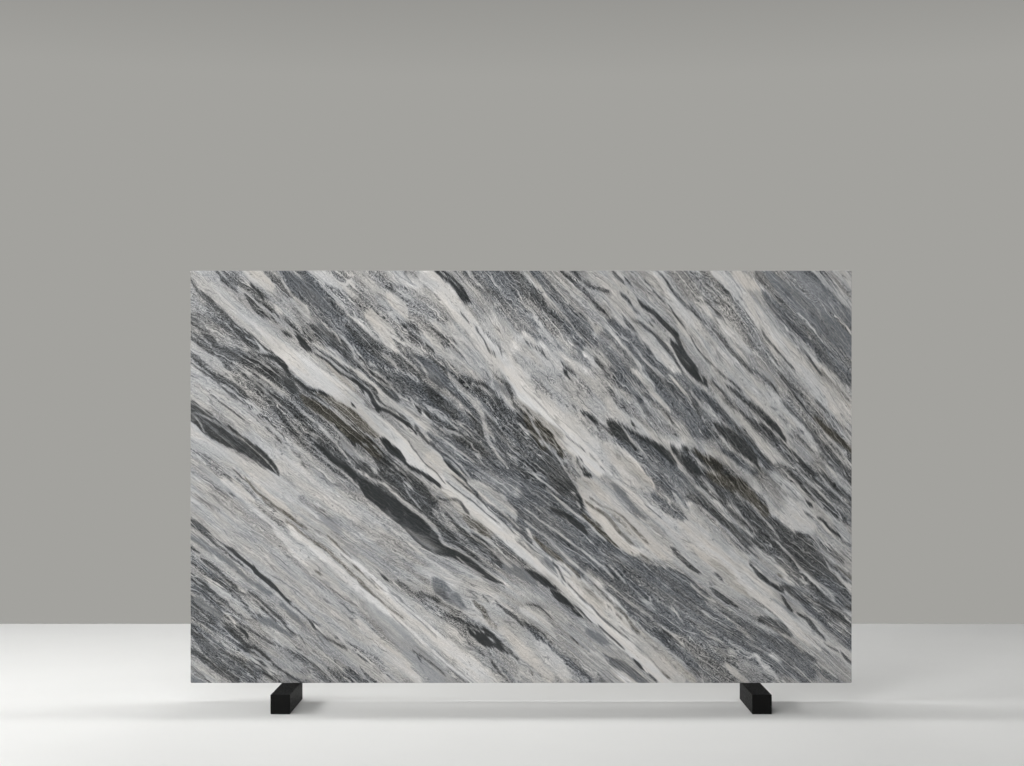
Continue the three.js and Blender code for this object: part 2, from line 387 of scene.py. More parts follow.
dark 0 182 1.5, 5 185.5 1.5, 9 189 1.5, 14 192 1.5, 18 194 2, 22 196.5 2.3
dark 22 186 1, 26 190 1, 29 193 1.3, 32 197.5 1.2
light 0 187.5 2, 6 192 2.7, 12 196.5 2.3
smoke 0 196 1.6, 5 199 1.5
dark 28 180 .6, 31 182.5 1.3, 34 184.5 1.5, 37 186.5 .9
dim 30 186 .8, 35 189 1, 38 193 1.2, 42 197 1.4
light 38 183 2, 45 188 2.5, 52 191.5 1.8
cream 44 192 1.3, 50 194 1.3, 57 195.5 1.3
dim 46 182 .8, 50 184.5 1, 54 187 1.2, 58 190 1.8, 62 194 2, 66 198 1.8
smoke 29 166 .4, 33 167.2 1, 36 168.5 1.6, 40 170.5 1.5, 44 173 1.3, 48 176 .8
smoke 44 160 .8, 50 166 1.2, 54 170 1, 58 174 .5
dim 67 192 1.5, 71 195 2, 74 198 1.5
slate 74 192 1, 78 195 1.8, 82 198 2
# middle, bottom row
fog 84 160 2, 90 166 3, 97 173 4, 104 180 4.5, 111 187 4.5, 118 193 4.5, 124 199 4
cream 80 168 2, 87 175 2, 93 181 2, 99 187 2, 105 193 2, 110 198 2
milk 90 151 2, 97 158 2, 104 164 2, 111 170 2.3, 118 175.5 2.8, 125 181.5 3.2
milk 125 181.5 3.2, 132 188 3.8, 139 194 3.8, 145 199 3.8
milk 104 172 1, 112 179 .8, 120 186 1, 128 192 1.3, 136 198.5 1.5
mid 80 182 2, 86 187 2.5, 92 192 2
slate 77 193 1.3, 80 195.5 1.8, 84 198.5 1.5
dim 99 150 1, 103 152.5 1.3, 107 155.3 1.3, 111 157.5 1.3, 114 160.3 1.3
dim 114 160.3 1.3, 117 163.3 1.2, 120 166 1, 123.5 169 .4
smoke 118 149 2, 119.5 152 3.2, 123 154.5 3.2, 127 157.5 2.8, 130 161 1.8, 132.5 163.5 .5
mid 118 161 1, 123 166 2, 129 171 2, 134 176 1.5, 140 182 1.2
silver 152 150 2, 156 155 3, 160 154 2.4, 164 154 3, 169 156.5 2.3, 172 160 1
drab 136 158 1, 140 163 1.5, 144 169 1.5, 148 173 1
silver 143 182.5 1, 147 184 2, 151 187 2.5, 155 190 2
slate 150 191.5 .8, 153 194 1.3, 156 196.5 1.5, 158 198.5 1
cream 150 172 2, 155 178 2.5, 161 183 3, 166 189 3, 172 195 3
pale 160 163 1.5, 165 166 2, 170 169 1.5, 173 173 1, 176 178 .6
slate 162 171 .8, 166 174 1.6, 170 178 1.5, 174 181.5 1, 178 185 1
slate 178 185 1, 182 188.5 1.5, 186 192.5 2, 191 197.5 2.5
pale 168 181 3, 175 188 3.5, 180 195 3.3
smoke 191 173 1.5, 195 175.5 2.3, 199 178.5 1.3
pale 192 183 1, 196 185.3 1
slate 198 184 .6, 203 188 2, 208 190.5 2, 213 194 2.3, 218 198 2
cream 190 157 2.2, 196 161.5 2.5, 203 167.5 3, 210 174 3, 216 179 3, 222 185 3
blush 220 183 3, 227 190 3.6, 234 197 3.6
sand 189 150 1.3, 193 154 2, 198 158.5 1.3
white 187 160.3 2.5, 193 165.7 2.3, 199 171.3 2.1, 205 176.7 2.1, 211 182 2.3
white 211 182 2.3, 217 187.5 2.3, 223 193.3 2.3, 229 199 2.3
milk 195 150 .8, 201 156 .8, 207 161 .8, 213 167 .8, 218 173 .5
sand 216 173.5 1, 220 178 1.3, 225 182 1.5, 230 186.5 1.5, 236 191.5 1.5, 242 197 1
slate 200 152 1.5, 206 157 2, 212 163 2.5, 218 169 3, 224 174 3, 230 179 3
slate 230 179 3, 236 184 3, 242 190 2.5
# right, bottom row
slate 240 160 5, 248 165 5.5, 256 170 6, 264 176 5, 272 179 4.5, 280 182 4
slate 280 180 4.5, 288 184 4, 294 186 3, 299 187 1.5
dark 250 153 .8, 254 156 1.2, 258 158.7 1, 262 161.3 .6
dark 274 167.5 1.2, 279 168.7 2.2, 284 171 2, 288 174.5 1.2
silver 260 157 1, 265 161 1.5, 270 164.5 1.3, 276 164 1.3, 280 167 .6
mid 271 158.5 .8, 274 161 1.3, 278 164 1.2, 282 167 .6
pale 272 150 2.5, 278 154.5 3, 284 160.5 3, 289 165.5 3.3, 294 170.5 3.5
silver 300 181 2, 306 186 3, 312 191 3.5, 318 196 3.5
milk 262 146 1.2, 266 150.5 1.5, 270 154.7 1.5, 276 158.3 1.8, 281 162.3 2
milk 281 162.3 2, 285 166.5 1.8, 289 171 1.8, 293 175 1.6, 297 178 1.3, 302 181.5 1
dark 286 152 1.5, 291 155.5 2, 296 159 2
dim 296 156 2, 303 162 3, 309 168 3, 315 174 3
dark 302 159.5 1.3, 307 163 2, 312 167 2, 318 172 1.5
slate 303 150 3, 309 154.5 3, 316 159 2.5
pale 313 148.5 .9, 318 153 1.2
pale 271 184 .6, 273.5 187.3 1.2, 277 190.3 1.2, 281 194.3 .8, 285 198.5 .6
cream 257 189.5 1, 262 194 1.5, 267 198 1.3
dim 300 190 1.5, 306 194 1.5, 311 198 1
slate 286 190 1.5, 292 195 2.2, 296 199 2
"""

# Thin veins, dark lenses and hair lines, laid over the bands.
LINES = """
# top left
thread 60 5 .4, 70 14 .6, 76 21 .7, 83 26 .4
thread 42 0 .3, 47 9 .4, 52 15 .4
dark 0 4 .5, 3 9 .8, 8 13.3 1, 12 17.5 1.2, 17 22 1.3, 22 27 .6
dark 12 0 .5, 17 5 .7, 22 9 .6
dark 0 29 .5, 5 33 .5, 10 38 .6
dark 0 40.5 .5, 5 45 .8, 10 49 .7, 14 51 .6
hair 0 44 .3, 8 50 .5
dark 19.5 27 1, 23 30 1.8, 27 32.5 2.2, 30 35 1.6, 32.5 37.5 .5
thread 17 25 .35, 20 28.5 .35, 24 33 .35, 26.5 35.5 .3
hair 20 25 .3, 25 28 .35, 29.5 30.8 .4, 32.5 34 .4, 36 37.6 .5, 40 39.5 .4
thread 20.5 26 .25, 25 28.8 .25, 29 31 .25, 31.5 33.8 .25, 35 37.6 .25
white 11 9.5 .3, 16 13.7 .5, 20 17.2 .5, 25 21.5 .5, 30 25.5 .5, 36 30.5 .6, 43 36.5 .6, 48 41 .5
dark 26 11 .5, 28.5 14.3 .9, 31 17.8 1.5, 34.5 20.3 1.5, 38 22.3 1, 41.5 24.8 .5
dim 30 12.5 .7, 36 17 1, 42 21 1.4, 47 25 1.4, 51 29 1
hair 31 14 .3, 38 18.7 .35, 44 23 .35, 50 28.7 .35
hair 35 15.5 .3, 40 19 .35, 46 23.7 .35, 51 29 .4, 55 33 .4
thread 33 16 .25, 39 20 .3, 45 24.3 .3, 50 29.5 .3
ink 44.5 29 .5, 46.5 30.3 .7, 48.5 31.3 .4
ink 29 6.5 .5, 30.5 8.3 .6
ink 32 9.3 .5, 33.5 12 .6, 34.8 13.6 .5
dark 15 4.8 .5, 18 7 .5
dark 20 8.3 .4, 22.5 9.8 .4
ink 52.8 27.3 .6, 53.2 27.6 .5
ink 54.8 29.8 .7, 55.2 30.2 .5
ink 56.8 32.3 .6, 58 34 .4
ink 51 31 .6, 53.5 34.5 1.3, 56 37.3 1.2, 58.5 38.7 .4
dark 22 37.5 .8, 27 40.5 1.3, 32 43.5 2.6, 37 46.5 3, 42 50.5 3, 46 54.5 2.3, 49 58 1.5
ink 32 40 .3, 36 40.4 .6, 40 41.5 1.1, 43 43.5 1.3, 45.3 46.3 1.1, 46.8 49.3 .5
thread 33 40.8 .25, 38 42.8 .25, 42 45.3 .25, 45 48.5 .25
thread 30 45.6 .3, 32.5 45.3 .6, 34 46.3 .3
thread 20 43 .3, 25 45.6 .4, 30 48 .4, 36 52 .5, 42 56.3 .5, 47 60 .4
thread 22 46.3 .3, 28 48.7 .4, 34 52.7 .5, 40 57 .5, 44 60.5 .4
silver 22 45.6 .4, 28 49.7 .5, 34 54.3 .5, 39 58.5 .4
ink 25.5 49.3 .5, 28.5 52 .8, 33 55.5 1, 37 58.7 1.1, 41 62 1.2
mid 21 46.5 1.3, 23.5 50 2, 25 53.5 1
dark 17 52.5 .8, 21 56 1.6, 25 59.7 1.6, 28 61.7 .5
ink 44 50.5 .6, 47.5 54 1.3, 50 57 1.6
ink 50 52.3 .5, 53.5 54.8 .7, 57 57 .8, 60.5 57.6 .5
sand 62 41.5 .8, 66 44.5 1, 70 49 1, 75 53.5 .8, 79 57.5 .6
# the slate to the right of the broad white ribbon
thread 74 19 .5, 79 23.5 .7, 83 27 .7, 87 30.7 .8, 91 33.7 .8, 95 37 .6, 99 39.5 .4
thread 60 22.5 .3, 65 26.5 .35, 70 30 .35, 74 33 .4, 77 36.3 .4, 80 41 .4, 83.5 45 .4
thread 73 32 .3, 76 36 .4, 78.3 39.5 .4, 79 42.3 .3
thread 70.6 31 .4, 71.6 34.3 .5, 73 36.6 .5
thread 78 36 .3, 81 40 .4, 85 43.3 .4, 90 45.3 .4, 95 47.3 .4, 99.5 48 .4
dark 60 29 1.3, 65 32 1.6, 70 35 1.6, 74 38.3 .8
thread 60 35 .5, 65 38.6 .5, 70 42 .5, 75 45 .5, 80 48.3 .6, 85 52 .6, 88.5 55.5 .6, 92 60 .5
thread 60 38.6 .4, 65 42 .4, 70 45.6 .4, 76 48.8 .4, 82 52.5 .4, 87 57 .4
ink 60 39.8 .4, 65 43 .5, 70 47.5 .5, 75 50.6 .5, 80 54 .6, 83 58 .5
ink 63 39 .3, 68 43 .4, 73 46.6 .5, 79 50.6 .6, 84 54.6 .6, 87 58 .6, 88.5 61 .6
hair 60 36.6 .25, 66 41 .3, 71 44.2 .3, 76 47.3 .3, 80 49.6 .3
thread 84 43.5 .4, 86 48 .4, 90.5 51 .3
thread 92 40 .5, 96 42.7 .6, 98.5 45 .6, 100 47.5 .5, 104 49.8 .4, 108 52.3 .4
shale 106 40.5 .8, 112 45 2.8, 117 49 3.3, 121 54 3
silver 101 40 .5, 106 44.3 .55, 110 49 .5, 114 54 .5, 119 58.6 .5, 126 64 .35
silver 104 36 .5, 106 40.5 .5, 110.5 44.5 .5, 114 50 .4
thread 93 53 .35, 98 56.3 .4, 103 60 .4
thread 88 48.5 .3, 93 53 .3
ink 90 45.8 .4, 92 47.5 .5
ink 82.5 40.8 .3, 84.5 43.3 .4, 86 45 .3
ink 85 46.5 .3, 87.5 49.6 .4
ink 90 51.5 .3, 93.3 54 .4
ink 106 46 .3, 110 51 .3
cream 85 21 1.5, 90 25 3, 93.5 29.5 3.3, 96 34 2.3, 99 38 1
mid 97 31 .8, 98.8 34 1.3, 100 37.3 .6
dark 103 25.6 .6, 106 26 1.5, 109 28.3 1.2, 110.5 29.3 .4
dark 104.5 29.5 .6, 106.5 32 1.6, 109 33.7 1.2, 110.5 35 .4
thread 104 27.3 .3, 107.5 28.5 .3, 111 30.3 .3
ink 99 22.5 .3, 101 25 .4, 104 28 .3
ink 113.5 35.8 .4, 115.5 37.3 .5, 117.3 38.8 .4
pale 101 30 .6, 104 34 .9, 108 37 .9, 111.5 40 .6
# round the white ribbon's second and third bends
thread 90 80 .3, 92.5 83.5 .4, 96 88 .5, 100 91.5 .5, 104 95 .5, 108 97.5 .5, 112 100 .4
ink 111 79 .4, 112.3 81 .4, 115 83.5 .4
ink 108 64.5 .5, 110 67.5 .6
ink 112 67.5 .3, 114.5 69.5 .4
ink 107 76.7 .4, 108.3 78.3 .5
thread 112 69 .4, 118 74 .5, 122 77 .6, 125 79 .5
thread 113 65 .3, 118 68 .4, 124 71 .4, 130 74.5 .4, 136 80 .4, 140 83 .4
ink 122 91 .4, 124 93.5 .5, 127 96.5 .5, 129 98.5 .3
thread 126 93 .3, 130 97 .4, 133 100 .4
white 153 51 1.5, 158 57 1.8, 163 62 2, 168 66 2, 173 70 1.8, 178 74 1.8, 182 78 1.8, 186 82 1.8, 191 87 1.5
milk 165 60 1, 172 65 1.5, 178 70 1.8, 184 75 2, 190 80 2.2, 195 84 2
sand 157 62 .5, 162 66.5 1, 167 70 1.2, 173 74.5 1.2, 178 79 1.2
olive 160 69 1.2, 163 73 2.2, 167 79 2.5, 170 84 2
thread 163.5 71 .4, 166 76 .45, 169 81 .45, 172 85 .45, 175 89 .4
thread 168 76 .3, 171 79.5 .3, 174 81.3 .3, 176.5 86 .3
thread 140 56 .35, 145 58 .4, 148 60 .4
smoke 146 54 1.2, 150 57 1.8, 153 60 1.2
hair 147 51 .3, 151 54 .4, 153.5 58.5 .4
hair 155 64.3 .4, 157 66.7 .4
hair 161.5 66.5 .3, 164 69.5 .3
# top, left of the middle
ink 118 0 .7, 121.5 3 .8, 125 5.5 .8, 128 9 1.1, 131 13 1.3, 134 14.5 .8
ink 121 0 .4, 125 3 .6, 129 7 .6, 132 11 .8, 133.5 14 .6
hair 129.5 20 .3, 132 22.5 .35, 134 25.5 .3
hair 137 26 .5, 138 29 .4, 141 33 .3, 143 38 .5, 146 40 .6
hair 140 28 .2, 143 31 .3, 146 34 .4, 149 38 .3, 149 40 .3
dark 133.5 5 .5, 138 8 1, 143 10 1.2, 149 9.5 .8
dark 88 19.5 .4, 92 21.5 .4, 93 22.5 .3
hair 113 25 .3, 120 31 .5, 125 33 .4, 128 35 .3
hair 114 41 .4, 120 46 .5, 124 51 .4
# top, right of the middle
thread 160 1 .4, 170 11 .4, 180 22 .4, 186 30 .4, 195 38 .4, 200 42 .4
dark 178 0 .8, 183 5 .8, 188 9 .6, 192 13 .8, 196 18 .8, 199 20 .6
dark 184 0 1.2, 190 6 1, 196 9 .8, 201 10 .6
dark 203 0 .5, 205 3 .7, 208 6 .4
dark 208.5 4 .5, 210.5 6 .7, 212 8 .3
dark 206.5 11 .5, 210 14 1, 212 17 .5
ink 215 14 .4, 218 17 1, 222 20 .9, 226 24 1, 230 27.5 1.2, 233 30.5 1.3
ink 233 30.5 1.3, 234 33 1, 236 37 .8, 238 39 .5
dark 213 19 .8, 215 20 .7
dark 208 22 .6, 210 25 .8, 213 28 .8, 214 29.5 .3
dark 211 23 .4, 215 24.5 .6, 218 27 .8, 222 30 .9, 226 34 1, 229 38 .8
dark 229 38 .8, 232 42 .6, 235 47 .6, 238 51 .8, 242 55 .4
hair 220 24.5 .4, 222 27 .3
dark 218 5 .5, 220 7 .5
hair 222 9 .3, 226 14 .5, 228 16 .3
ink 231 34 .8, 235 39 2.2, 239 45 2.6, 243 50 2.2, 247 54 .8
dark 224 0 .5, 228 4 .5, 231 9 .6, 235 14 .6, 240 18.5 .5, 245 23 .5
hair 230 17 .3, 233 22 .4, 238 28 .3
hair 160 33 .3, 164 36 .4, 168 38 .5, 170 41 .3
dark 195 43 .8, 199 47 1.3, 203 51 1.3
ink 178 43.9 .45, 179.4 45.2 .4
wisp 179.4 45.4 .3, 181.5 46.7 .3, 183.5 47.6 .2
dark 181.8 47.7 .5, 183 48.5 .9, 184.4 49.6 .6, 185.4 50.6 .2
ink 180.2 46.9 .6, 179.8 48.4 .8, 180.3 49.8 .75, 181.7 51.1 .45
hair 181.7 51.1 .3, 184.3 53.5 .35
silver 181.5 49.1 .4, 183.3 50.9 .6
dim 185.5 54 .5, 187 55.5 .9, 188.6 57 .5
# top right
thread 299 0 .7, 304 5 .9, 309 10 1, 313 14 1.2, 317 17 1.3
dim 303 0 1, 309 5 1.2, 315 10 1, 317 12 .8
dark 295 0 .5, 300 4 .5
dark 288 30 .5, 292 35 .8, 296 40 .8, 299 45 .5, 303 50 .5
thread 290 33 .5, 297 40 .7, 303 46 .9, 308 51 1
dim 256 8 1, 258 11 .8
dim 261 12 1, 264 14 .8
hair 274.5 28 .4, 275.5 31 .4, 280 36 .4, 286 43 .5, 290 47 .5
dark 240 17 .5, 245 22 .5, 250 28 .6, 255 32 .5, 262 40 .5, 268 46 .7
dark 268 46 .7, 273 50 .7, 277 52.7 .9, 279.5 55.5 .6, 283 60 .3
hair 240 31 .3, 244 38 .3, 249 44 .4, 255 50 .5, 260 54 .6, 265 58 .6
dark 253 31 .4, 258 37 .6, 265 44 .6, 270 49 .5
# left, second row
dark 11 50 1.2, 17 53.5 1.8, 21 57 2.3, 25 59.7 1.9, 28 61.5 .8
hair 9 50.5 .3, 13 54 .4, 18 58.5 .4, 22 61.5 .5, 27 64 .5
dark 25.5 49 .8, 28 51.5 .9, 32 56 .5, 36 60.5 .5, 39 64.5 1.2, 42 68 1.3
dark 42 68 1.3, 45 72 1.5, 48 76 1.4, 52 79.5 1, 57 83.5 .8, 62 88 .8
thread 28 50.5 .4, 36 58 .5, 44 65 .5, 50 71 .6, 53 73 .3
thread 30 47 .5, 38 53.5 .6, 44 59 .6, 50 64 .7, 57 70 .8, 63 76 .8
thread 63 76 .8, 68 81 .6, 73 87 .5, 77 92 .4
thread 57 66 .4, 62 69.5 .4, 67 73.5 .4, 72 79 .4, 78 85 .4, 83 90.5 .5
thread 46 71 .4, 52 78 .5, 58 84 .5, 66 91 .5, 74 97 .4
thread 52 80 .4, 60 87.5 .5, 68 93 .5, 76 99 .5, 81 104 .4
thread 58 80 .4, 63 84.5 .5, 68 88 .3
ink 60 83 .6, 65 87 1.3, 70 91.5 1.4, 75 95 1.5, 79 99 1.2
ink 72 92 .8, 76 95.5 1.5, 79 98 .8
thread 60 62 .3, 66 65.5 .3, 72 70.5 .3, 77 74.5 .3, 84 79.5 .3
thread 63 62 .3, 69 66.5 .3, 76 72.5 .4, 82 76.5 .3, 88 81 .3
hair 50 53 .6, 55 57 .6, 60 60 .5, 67 65 .4
ink 62 58 .8, 64.5 59.2 .8, 66.5 60 .3
ink 77.5 64 .7, 79 65.3 .3
ink 45 53 .8, 48 56 1.5, 50 58.5 .6
hair 33 70 .5, 36 70.7 .6, 38.5 73 .5, 41 76 .4, 44 79 .3, 46 82 .3
dark 37 76 .6, 38.7 77.7 .5
hair 40 79 .4, 43.5 82.3 .4
hair 44 83 .3, 48 86 .4, 53 89 .4
hair 53 92 .5, 55.5 94.7 .4
dark 28 66.2 .5, 29.5 65.5 .4
hair 8 58 .2, 15 64 .3, 22 69 .3, 28 74 .3
lens -1 66.5 4.6, 5 70.5 4.3, 10 75 4.6, 15 78 4.6, 20 81 4.2, 25 83.8 3.6
lens 25 83.8 3.6, 30 87 3, 35 90.5 2.6, 39.5 94.7 1.9, 42 97.7 .6
thread 0 63 .3, 5 66 .4, 9 69.5 .4, 12 71 .3
thread 0 68 .3, 4 69 .4, 9 71.5 .5, 14 74 .4, 20 78 .4, 25 81 .4
thread 25 81 .4, 29 84.5 .4, 34 89 .4, 38 93 .4, 41 97 .3
thread 2 70 .3, 5 74 .4, 7 77.5 .3
thread 12 70.5 .3, 17 75 .4, 19 76.5 .2
hair 20 95 .3, 24 99 .4, 26.5 101 .3
# middle, second row
ink 78 52 .8, 82 55.5 .8, 85 58 .9, 87 61 1, 88.5 64.3 1.1, 90 66.5 1.2
ink 90 66.5 1.2, 93 66.9 .9, 96 68 .9, 99 70.3 .8, 102 71.8 .9, 104.5 74 .9
ink 104.5 74 .9, 106 75.8 .3
dark 80 52 .9, 84 54.5 1.1, 88 57.5 1.1, 89.7 61 .7, 92 63.7 .5, 96 66 .5
dark 96 66 .5, 99 68 .6, 103 71 .7, 105.5 74 .5
thread 82 54 .3, 86.5 58 .35, 89.5 63 .35, 93 65.3 .35, 98 68.6 .3
ink 82.5 58.3 .5, 83.4 58.9 .3
thread 86 50 .5, 91 53.5 .4, 97 57 .4, 101 60.5 .5, 106 62 .4, 112 66 .4
thread 112 66 .4, 120 70 .5, 128 76 .5
light 123 49 .6, 126 53 1, 130 57 1.2, 134 60.5 1.4, 137.5 64.5 1.5, 140 69 1.3
light 140 69 1.3, 141.2 73.5 1.1, 142 78 1.2, 143.3 81.5 .8, 145 85 .7
light 145 85 .7, 147 88.3 .5, 150 92.3 .45, 152.5 95 .3
thread 137 61 .5, 141 66 .5, 144 70 .5, 147 73 .4
thread 144 78 .5, 147 83 .5, 150 86 .5, 153 88.5 .7, 156 90.5 .8
ink 133 52 .3, 136 53 .4, 140 53.8 .6, 143 56 .8, 147 59.2 .5
thread 135 54 .4, 139 56 .5, 144 58.7 .5, 148 60.3 .4
hair 146 50 .4, 150 53 .6, 153 55.5 .7, 154 59 .6, 154.5 62 .3
dark 155 63.5 .5, 157 66 .7, 160 69 .8
dark 147 83 .8, 150 86 1.4, 152 89 .7
hair 110 65 .5, 113 68 .6, 115 70 .6
hair 109 66 .4, 110.7 69 .5
dark 108 75 .8, 111 79.3 .8, 114 82.3 .7, 117 84.3 .6, 120 86.5 .5, 124 90 .4
ink 122.5 91.5 .5, 125 94 .7, 127 96.5 .6, 129 98 .3
thread 121 89 .3, 125 91.5 .4, 129 95.5 .4, 131 99 .3
thread 112 76 .4, 120 80 .5, 128 86 .5, 136 92 .5
thread 120 86 .4, 128 92 .5, 134 99 .5
hair 105 82 .2, 108 87 .25
hair 108 86 .2, 112 92 .3, 118 97 .3, 122 102 .3
ink 92 81 .8, 93.7 82 1.6, 95.3 84.3 1.8, 99 87.3 1.8, 102 90.2 1.2, 104 93 .5
thread 89 82 .3, 93.5 87.5 .4, 98 91 .4, 103 95.3 .4, 108 98.8 .4
thread 88 84 .5, 92 88.5 .5, 97 92.5 .5, 102 96.5 .5, 106 101 .4
ink 104 93 .5, 108 95.3 .8, 113 98.3 .9, 117 101 1, 120 104 .6
pale 99 95 .4, 99.5 95.7 .4
pale 82.5 83.3 .5, 84.5 84.3 .4
ink 80 93 .6, 83 95 .8, 85 97 .5
thread 81 96 .5, 84 98 .7, 90 102 .6
wisp 158 55 .15, 163 60 .22, 168 65 .22, 173 70 .22, 178 75.7 .2, 183 81 .1
hair 180 79 .1, 190 87 .2, 197 94 .25, 205 101 .2
# right of the middle, second row
light 163 70 .6, 165 74 .6, 168 79 .5, 171 83 .5, 175 87 .5, 178 92 .5
light 178 92 .5, 181 97 .5, 184 100 .4
light 168 82 .6, 169.5 84 .5
ink 176 87.3 .4, 177.5 89 .5
thread 183.5 90 .4, 185 95 .5, 188 98.5 .5, 192 101 .4
hair 185.5 90 .4, 186.2 92.5 .6, 186.6 94.5 .3
hair 186 89 .3, 188 91.3 .3
ink 188.6 95.2 .9, 189.4 95.8 .8
ink 189.8 97.8 1.3, 191.8 98.2 1.2
mid 164 52 1, 169 56 1.5, 173 60 1.2
mid 171 50 1, 175 53 1
mid 175 60 .6, 180 65 .6, 186 70 .5
dim 187 53 .6, 190 56 1, 192 59 .9, 193 61 .4
hair 183.3 65.5 .5, 184.5 66 .4
ink 188 68 .7, 191 69.3 1, 193.5 71.5 1.1, 195 73 .7
hair 193 70.5 .5, 197 73.5 .6, 200 76 .6, 203 79.2 .5
hair 194 73.3 .4, 197 76.3 .4
mid 188 72 1, 192 76 1.5, 197 81 1.5
lens 201.5 73 1.2, 204 75 2.8, 207 79 2.5, 210 82 1, 213 84.5 .8, 215.5 86 .3
thread 205 72 .3, 208 76 .4, 211 80 .4, 215 84 .4, 219 88 .4, 224 92 .4
ink 206 73.5 .4, 210 76 .4, 214 78.3 .6, 217 80 1, 221 82.5 1.5, 226 86 1.8
ink 226 86 1.8, 230 89.5 1.8, 233 93 1
hair 212 73 .5, 214 75.5 .4
thread 200 54 .4, 204 57 .5, 208 58.5 .4
thread 208 50 .4, 214 55 .4, 220 59 .4, 224 62 .4, 228 66 .3
thread 228 48 .3, 233 54 .4, 238 60 .4, 242 65 .4
thread 230 50 .3, 236 57 .3, 241 62 .3
silver 212 62 .8, 215 65 .9, 217 66 .4
hair 228 67.5 .4, 230 70 .4, 232 73.5 .4
pale 237 81.5 1.8, 243 83.5 1.6, 248 86.5 1.6, 254 91 1.5
ink 231.5 85 1.1, 233 88 1.4
ink 236.7 84 .6, 238.2 85.6 .8
olive 242.5 86.8 .9, 246 89 1.4, 250 91.5 2.2, 254 94.5 1.8
thread 230 87 .4, 234 92 .5, 238 97 .5, 242 101 .4
ink 236.3 89.5 1, 240 93.2 2.2, 243.5 97 1.8
thread 239 86.5 .4, 242 89.5 .5, 246 93.5 .6, 250 96.5 .5, 254 98.5 .4
# right, second row
ink 241 48 .6, 244 50.5 1.3, 247 53 1.3, 248.5 55 .4
thread 244 48.5 .3, 246 52 .3
light 237 48 .5, 242 53 .8, 248 58 .8, 251 61 .4
thread 240 58 .5, 245 64 .5, 250 68 .5, 256 73 .5, 262 78 .5, 267 83 .4
thread 267 83 .4, 271 88 .4
lens 252 74 .8, 256 77 2.2, 261 81 3, 266 86 3, 270 90 2, 272 94 1, 273.5 97 .4
thread 251 76 .4, 255 81 .5, 260 86 .5, 266 90 .5, 271 94 .5, 275 99 .4
hair 241 63 .5, 243 67 .5, 245 70 .4
hair 250 53 .4, 254 57 .5, 258 61 .5
hair 262 75 .5, 268 81 .5, 273 87 .6, 279 93 .6
hair 260 76 .4, 266 82 .4, 271 88 .4, 278 95 .5
dark 257 55 .5, 261 58 1, 266 62 1, 270 65 1.3, 274 68 1.5, 278 72 1.5
ink 278 72 1.4, 281 75 1.4, 284 79 1, 286 82 .5
light 268 66.5 .5, 272 69.5 .5, 275 73 .4, 278 75 .3
fog 281 78 .8, 283 80 .6
dark 282 48 .4, 285 52 .8, 288 57 .8, 292 62 .8, 296 67 .9, 300 71 1.2
olive 300 71 1.2, 305 76 1.5, 310 80 1.8, 314 83 1.5, 318 87 1
dark 287 54 .7, 291 58 .9, 294 60 .7
dark 292 76 .4, 294 77.5 .5
dim 296 77 .4, 298 78 .3
dim 283 70 .4, 286 73 .5, 289 76 .5, 292 80 .5, 296 84 .6, 300 87 .5
drab 303 48 .6, 307 53 .8, 312 58 .8, 316 62 .6
hair 300 62 .4, 308 70 .4, 317 78 .4
thread 302 79 .4, 308 86 .5, 317 95 .5
# left, third row
hair 18.5 106.5 .4, 20.5 108 .4
umber 26 99 .4, 29 103 .5, 33 107 .5, 37 110 .6, 41 113 .6, 45 116 .7
umber 45 116 .7, 48 118 .8, 51 121 .5, 56 124 .4
umber 34 109 .4, 38 112.5 .5, 41 115 .4
umber 72 136 .3, 77 140 .4, 82 145 .4
umber 66 127.5 .3, 72 133 .4, 78 139 .35, 86 147 .35, 92 153.5 .3
cream 68 130.5 .4, 75 137.5 .5, 82 143.5 .5, 90 150 .5
umber 60 144 .4, 62.5 146 .4
fog 64 149 .8, 66 150.5 .8
dark 0 119 .6, 4 122 .7, 8 125.5 .8, 12 129 .5, 16 131.5 .5, 19 133.5 .9
dark 0 121 .4, 5 125 .6, 10 129.7 .5, 15 133.7 .5, 20 137.3 .5, 25 141.7 .4
ink 18.5 133 .8, 20.5 134 1, 22 135.7 1.1, 24 138 .9, 27 140.3 .8, 30 142.5 1
ink 30 142.5 1, 32 145 1, 36 148.3 1.2, 40 152 1.1, 43 155 .6
slate 4 122.5 1, 8 126 .8
dark 0 133 .8, 4 136 .6
thread 0 136 .4, 5 139 .4, 10 143.5 .4, 15 147.7 .4, 19 151.5 .3
light 0 141.5 .5, 5 145.3 .5, 11 150.3 .4
dark 0 146.5 .5, 4 149.5 .6, 8 153 .6
# middle, third row
ink 82 101.5 1.5, 87 106 3.8, 92 110 4, 97 114 4.3, 102 117.5 4.5, 107 122 4.5
ink 107 122 4.5, 112 127 4.8, 117 131 4.3, 121 134 2.8, 126 135.5 2, 132 139 2.2
ink 132 139 2.2, 138 143.3 1.8, 144 147.5 1.2, 150 150.5 .3
wisp 101 112 .3, 102.5 115 .4, 103.5 119 .3
thread 128 137.5 .3, 132 141 .4, 136 144 .4, 141 146.5 .3
light 88 100 .6, 93 103 .8, 98 107 .8, 102 111 .9, 107 115 1, 112 119 1
light 112 119 1, 117 123 1, 120 128 .8, 122 131 .9, 127 133 1, 132 136 .8
light 132 136 .8, 138 140 .6, 144 145 .5, 150 149 .6, 153 151.5 .5
thread 92 102 .4, 98 106 .5, 101 109 .4
thread 102.5 104 .4, 104.5 102 .5, 106 104.5 .4, 104 106 .4, 107 110 .4
thread 107 110 .4, 110 114 .4
wisp 108 100 .4, 114 106 .5, 118 113 .5, 120 118 .5, 124 124 .5, 128 128 .4
silver 112 101.5 .5, 115 103.5 .8, 119 107 .8, 121 107.5 .4
hair 119 109 .4, 123 110 .4, 127 109.7 .6, 129.5 111 .7, 131 113.5 .6
hair 131 113.5 .6, 133 116 .6, 134 117 .3
